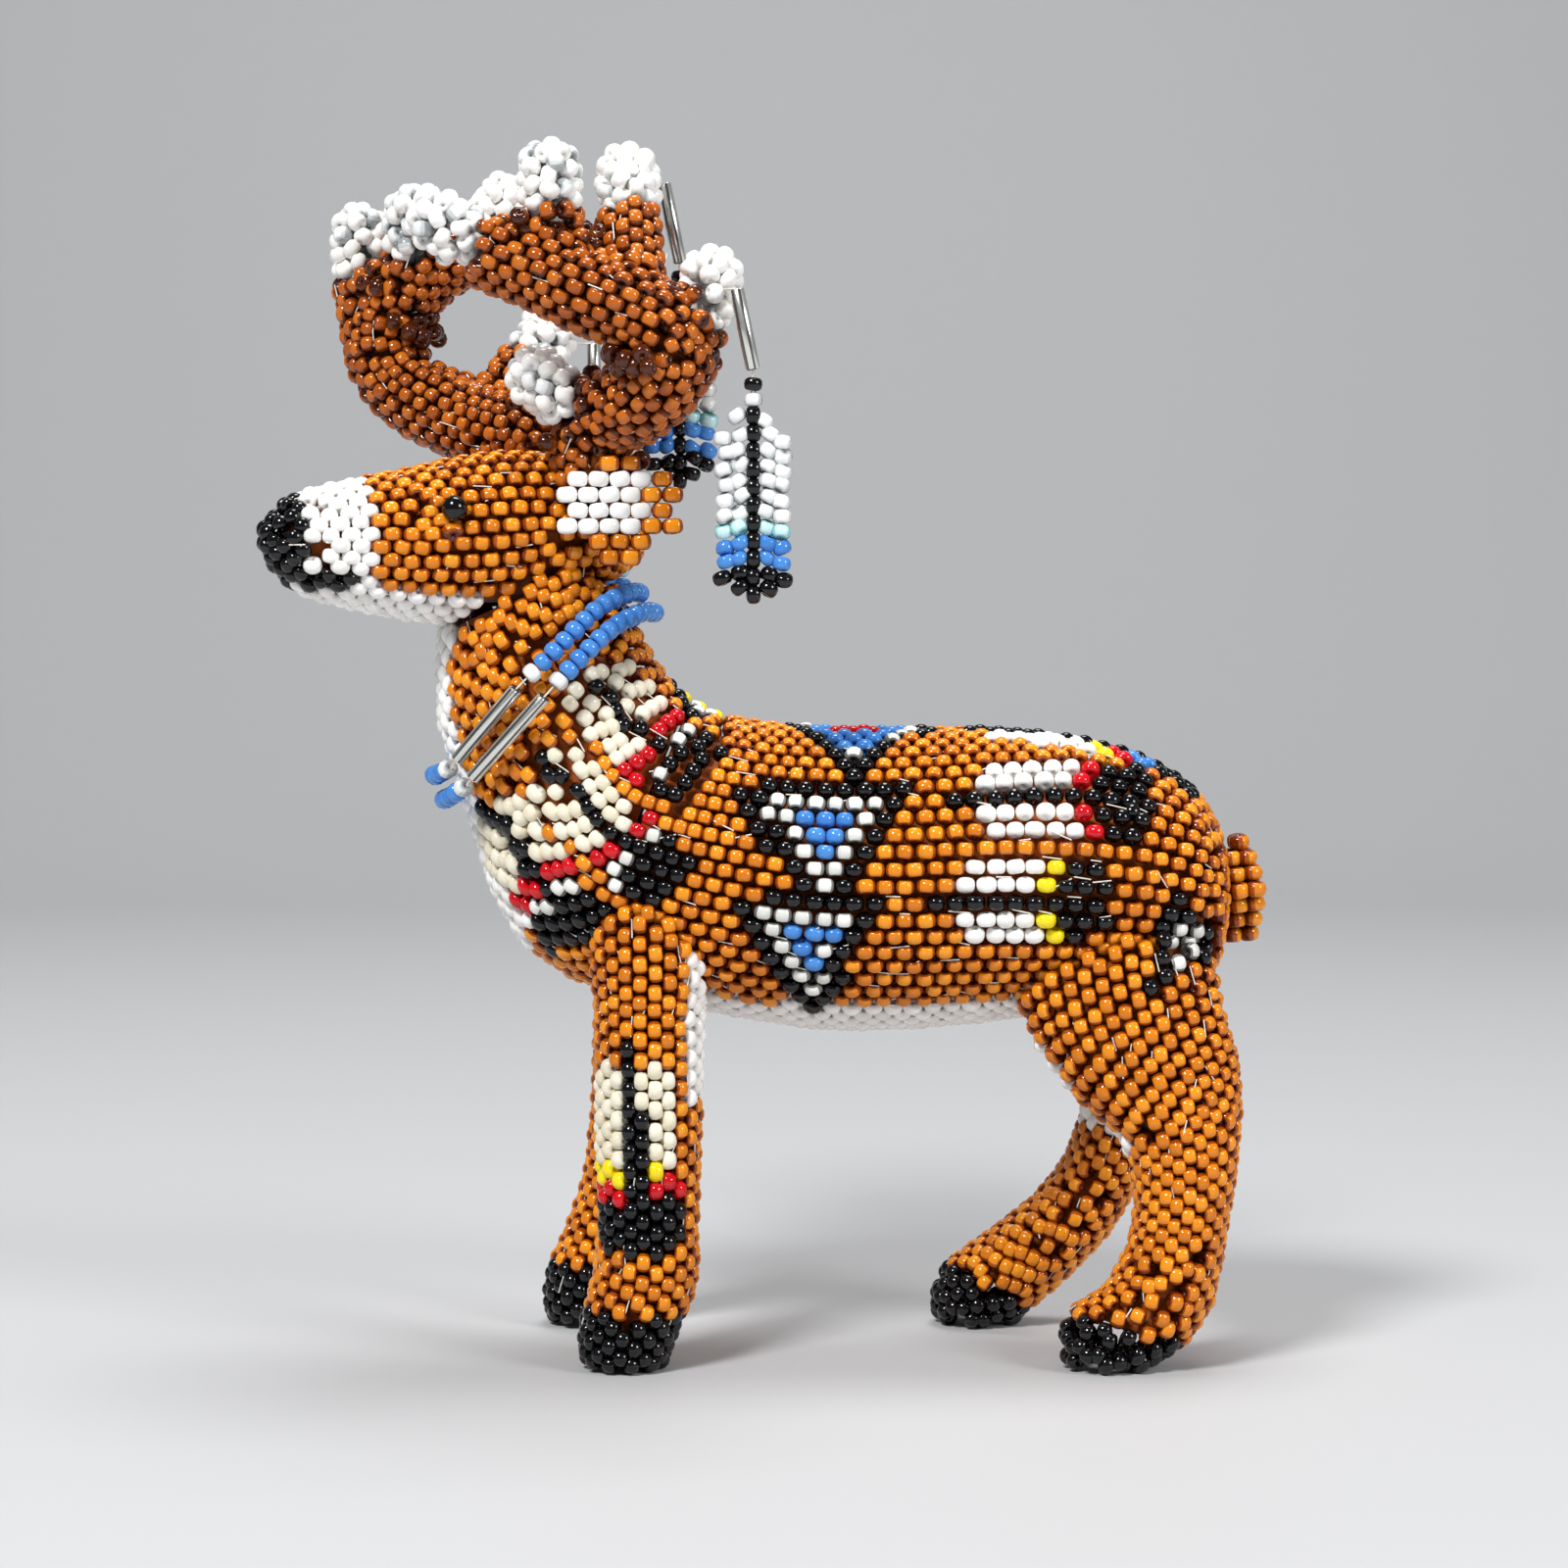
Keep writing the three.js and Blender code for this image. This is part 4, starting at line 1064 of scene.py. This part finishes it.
for (node, group), pile in sorted(GATHERED.items()):
    parts = math.ceil(len(pile.place) / PIECE_BEADS)
    order = np.argsort([p[0] for p in pile.place])
    for part in range(parts):
        chosen = order[part * len(order) // parts:(part + 1) * len(order) // parts]
        some = Beads()
        for field in ("place", "axes", "size", "kind"):
            setattr(some, field, [getattr(pile, field)[i] for i in chosen])
        tag = f"_{part + 1}" if parts > 1 else ""
        bead_piece(f"{node}_{group}{tag}", some, "figure", [node])

# ---- tubes and threads


def tube(name, segments, radius, sides):
    """Thin straight threads joined in one mesh, from (start, end, a direction beside it)."""
    verts, faces = [], []
    for start, end, beside in segments:
        start, end = np.asarray(start, float), np.asarray(end, float)
        ahead = end - start
        ahead /= max(np.linalg.norm(ahead), 1e-9)
        u = np.asarray(beside, float)
        u = u - ahead * (u @ ahead)
        u /= max(np.linalg.norm(u), 1e-9)
        v, base = np.cross(ahead, u), len(verts)
        for end_point in (start, end):
            for k in range(sides):
                a = 2 * math.pi * k / sides
                verts.append(end_point + (u * math.cos(a) + v * math.sin(a)) * radius)
        faces += quads(2, sides, False, base)
    return link_mesh(name, np.array(verts), faces, [THREAD], np.zeros(len(faces)))


stitches = tube("stitching_thread", STITCHES, 0.075, 4)
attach(stitches, "figure")

# ---- eyes


def ball_piece(node):
    """A polished round bead, with the small dimple of its hole."""
    low, high = (np.array(c) * 1000 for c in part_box(node))
    centre, radius = (low + high) / 2, float((high - low).min()) / 2
    bands, spokes, verts = 14, 20, []
    for i in range(bands + 1):
        t = 0.16 + (math.pi - 0.32) * i / bands
        for k in range(spokes):
            a = 2 * math.pi * k / spokes
            verts.append(centre + radius * np.array([math.sin(t) * math.cos(a),
                                                     math.sin(t) * math.sin(a), math.cos(t)]))
    faces = quads(bands + 1, spokes, False)
    ob = link_mesh(f"{node}_bead", np.array(verts), faces, [KINDS["black"][0][0]],
                   np.zeros(len(faces)))
    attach(ob, "figure")
    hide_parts(node)


ball_piece("eye_left")
ball_piece("eye_right")

# ---- bugle beads

BUGLE_CORE = glass("bugle_silver", (226, 226, 220), (0.16, 0.30), metallic=0.85)
# The darker silver is painted shade for the flute grooves and the hole, and the grey of the glass
# itself on the cut ends.
BUGLE_DARK = glass("bugle_flute", (96, 96, 94), (0.10, 0.2), metallic=0.6)


def bugle(name, node, start, end, body):
    """A silver-lined tube bead: fluted glass, cut square, with an open hole."""
    start, end = np.asarray(start, float) + ORIGIN, np.asarray(end, float) + ORIGIN
    ahead = (end - start) / np.linalg.norm(end - start)
    side = np.cross(ahead, (0.0, 1.0, 0.2))
    side /= np.linalg.norm(side)
    up, spokes = np.cross(ahead, side), 18
    length = np.linalg.norm(end - start)
    profile = [(0.0, 0.40), (0.0, 0.82), (0.12, 0.97), (length / 2, 1.0),
               (length - 0.12, 0.97), (length, 0.82), (length, 0.40)]
    verts = []
    for at, r in profile:
        for k in range(spokes):
            a = 2 * math.pi * k / spokes
            groove = 0.94 if k % 3 == 0 else 1.0
            ring = side * math.cos(a) + up * math.sin(a)
            verts.append(start + ahead * at + ring * r * BUGLE_RADIUS * groove)
    faces = quads(len(profile), spokes, True)
    # The darker material lies in the flute grooves and the bore as painted shade, and on the cut ends
    # as the grey of the glass itself.
    dark = [k % 3 == 0 or i in (0, 5, 6) for i in range(len(profile)) for k in range(spokes)]
    ob = link_mesh(name, np.array(verts), faces, [BUGLE_CORE, BUGLE_DARK], dark)
    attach(ob, body)
    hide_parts(node)


# ---- necklace


def mirrored(points):
    return [(x, -y, z) for x, y, z in points]


def strung(points, kind_at, pile):
    """Round beads threaded one after another along a line."""
    line = curve(np.array(points, float) + ORIGIN, 400)
    run = run_along(line)
    count = max(2, int(run[-1] / STRUNG_PITCH))
    at = (np.arange(count) + 0.5) * run[-1] / count
    for i, s in enumerate(at):
        p = np.array([np.interp(s, run, line[:, k]) for k in range(3)])
        q = np.array([np.interp(min(s + 0.2, run[-1]), run, line[:, k]) for k in range(3)])
        r = np.array([np.interp(max(s - 0.2, 0), run, line[:, k]) for k in range(3)])
        out = p - (np.array([*HEAD_PIVOT, p[2]]) + ORIGIN * (1, 1, 0))
        pile.add(p, q - r, out, kind_at(i, count), (1.02, 1.02, 1.02))


for name, strand in STRANDS.items():
    nape = mirrored(strand["nape"][1:])[::-1] + strand["nape"]
    front = strand["front"] + mirrored(strand["front"][:-1])[::-1]
    for part, points in (("nape", nape), ("front", front)):
        pile = Beads()
        strung(points, lambda i, n: "clear" if i in (0, n - 1) else "blue", pile)
        node = f"necklace_{name}_{part}_beads"
        bead_piece(f"{node}_strung", pile, "necklace", [node])
    links = []
    for turn in (1, -1):
        stops = [strand["nape"][-1], *strand["bugle"], strand["front"][0]]
        stops = [np.array((x, turn * y, z)) + ORIGIN for x, y, z in stops]
        links += [(a, b, (0, 1, 0)) for a, b in zip(stops, stops[1:])]
    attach(tube(f"necklace_{name}_thread", links, 0.10, 5), "necklace")
    for side, ends in (("left", strand["bugle"]), ("right", mirrored(strand["bugle"]))):
        node = f"necklace_{name}_bugle_{side}"
        bugle(f"{node}_glass", node, *ends, "necklace")

# ---- hanging feathers


def plume(name, bottom):
    """A flat feather: black spine, clear vanes, then aqua, blue and a black tip."""
    pile = Beads()
    x0, y0, z0 = np.asarray(bottom, float) + ORIGIN - (0, 0, 0.5)
    out, hole = (0.0, -1.0, 0.0), (1.0, 0.0, 0.0)
    pile.add((x0, y0, z0 - 0.9), (0, 0, 1), out, "black", (0.9, 0.92, 0.92))
    pile.add((x0, y0, z0 - 2.4), (0, 0, 1), out, "clear", (0.9, 0.92, 0.92))
    for column in (-2, -1, 0, 1, 2):
        side = abs(column)
        top = (3.9, 4.3, 6.2)[side]
        low = (22.9, 22.2, 20.2)[side]
        step = 1.74 if column == 0 else 1.5
        for i in range(int((low - top) / step) + 1):
            depth = top + i * step
            if column == 0 or depth > 18.4:
                kind = "black"
            else:
                kind = "blue" if depth > 15.6 else "aqua" if depth > 14.0 else "clear"
            lean = math.copysign(0.55 if side == 1 else 0.25, column)
            at = (x0 + column * COLUMN, y0, z0 - depth)
            if column:
                at = at + rng.normal(0, 0.14, 3)
            pile.add(at, (lean + rng.normal(0, 0.2), rng.normal(0, 0.3), 1.0) if column else hole,
                     out, kind, (0.95, 0.97, 0.97))
    node = f"pendant_{name}_feather"
    bead_piece(f"{node}_beads", pile, f"pendant_{name}_plume", [node])


CAP_ABOVE = {"back": "antler_left_back_cap", "top": "antler_left_top_rear_cap",
             "brow": "antler_right_brow_cap"}


def doubled(start, end):
    """Two strands of thread side by side, bowed a little apart."""
    start, end = np.asarray(start, float), np.asarray(end, float)
    middle, lines = (start + end) / 2, []
    for bow in (0.22, -0.22):
        half = middle + np.array([bow, bow * 0.5, 0])
        lines += [(start, half, (0, 1, 0)), (half, end, (0, 1, 0))]
    return lines


for name, (top, bottom) in PENDANTS.items():
    bugle(f"pendant_{name}_tube", f"pendant_{name}_bugle", top, bottom, f"pendant_{name}_drop")
    plume(name, bottom)
    top, bottom = np.array(top) + ORIGIN, np.array(bottom) + ORIGIN
    cap = box_middle(CAP_ABOVE[name])
    loop = tube(f"pendant_{name}_loop", doubled(cap + (top - cap) * 0.6, top), 0.09, 5)
    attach(loop, "figure")
    link = tube(f"pendant_{name}_thread", doubled(bottom, bottom - (0, 0, 4.4)), 0.09, 5)
    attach(link, f"pendant_{name}_plume")

# ---- cloth and wire cores

for name, node in NODES.items():
    if name.endswith("_core"):
        # The cores that show between the beads get the felt and wrap colours, with their painted glow.
        node.data.materials.clear()
        node.data.materials.append(WRAP_WITH_GLOW if name.startswith("antler") else FELT_WITH_GLOW)
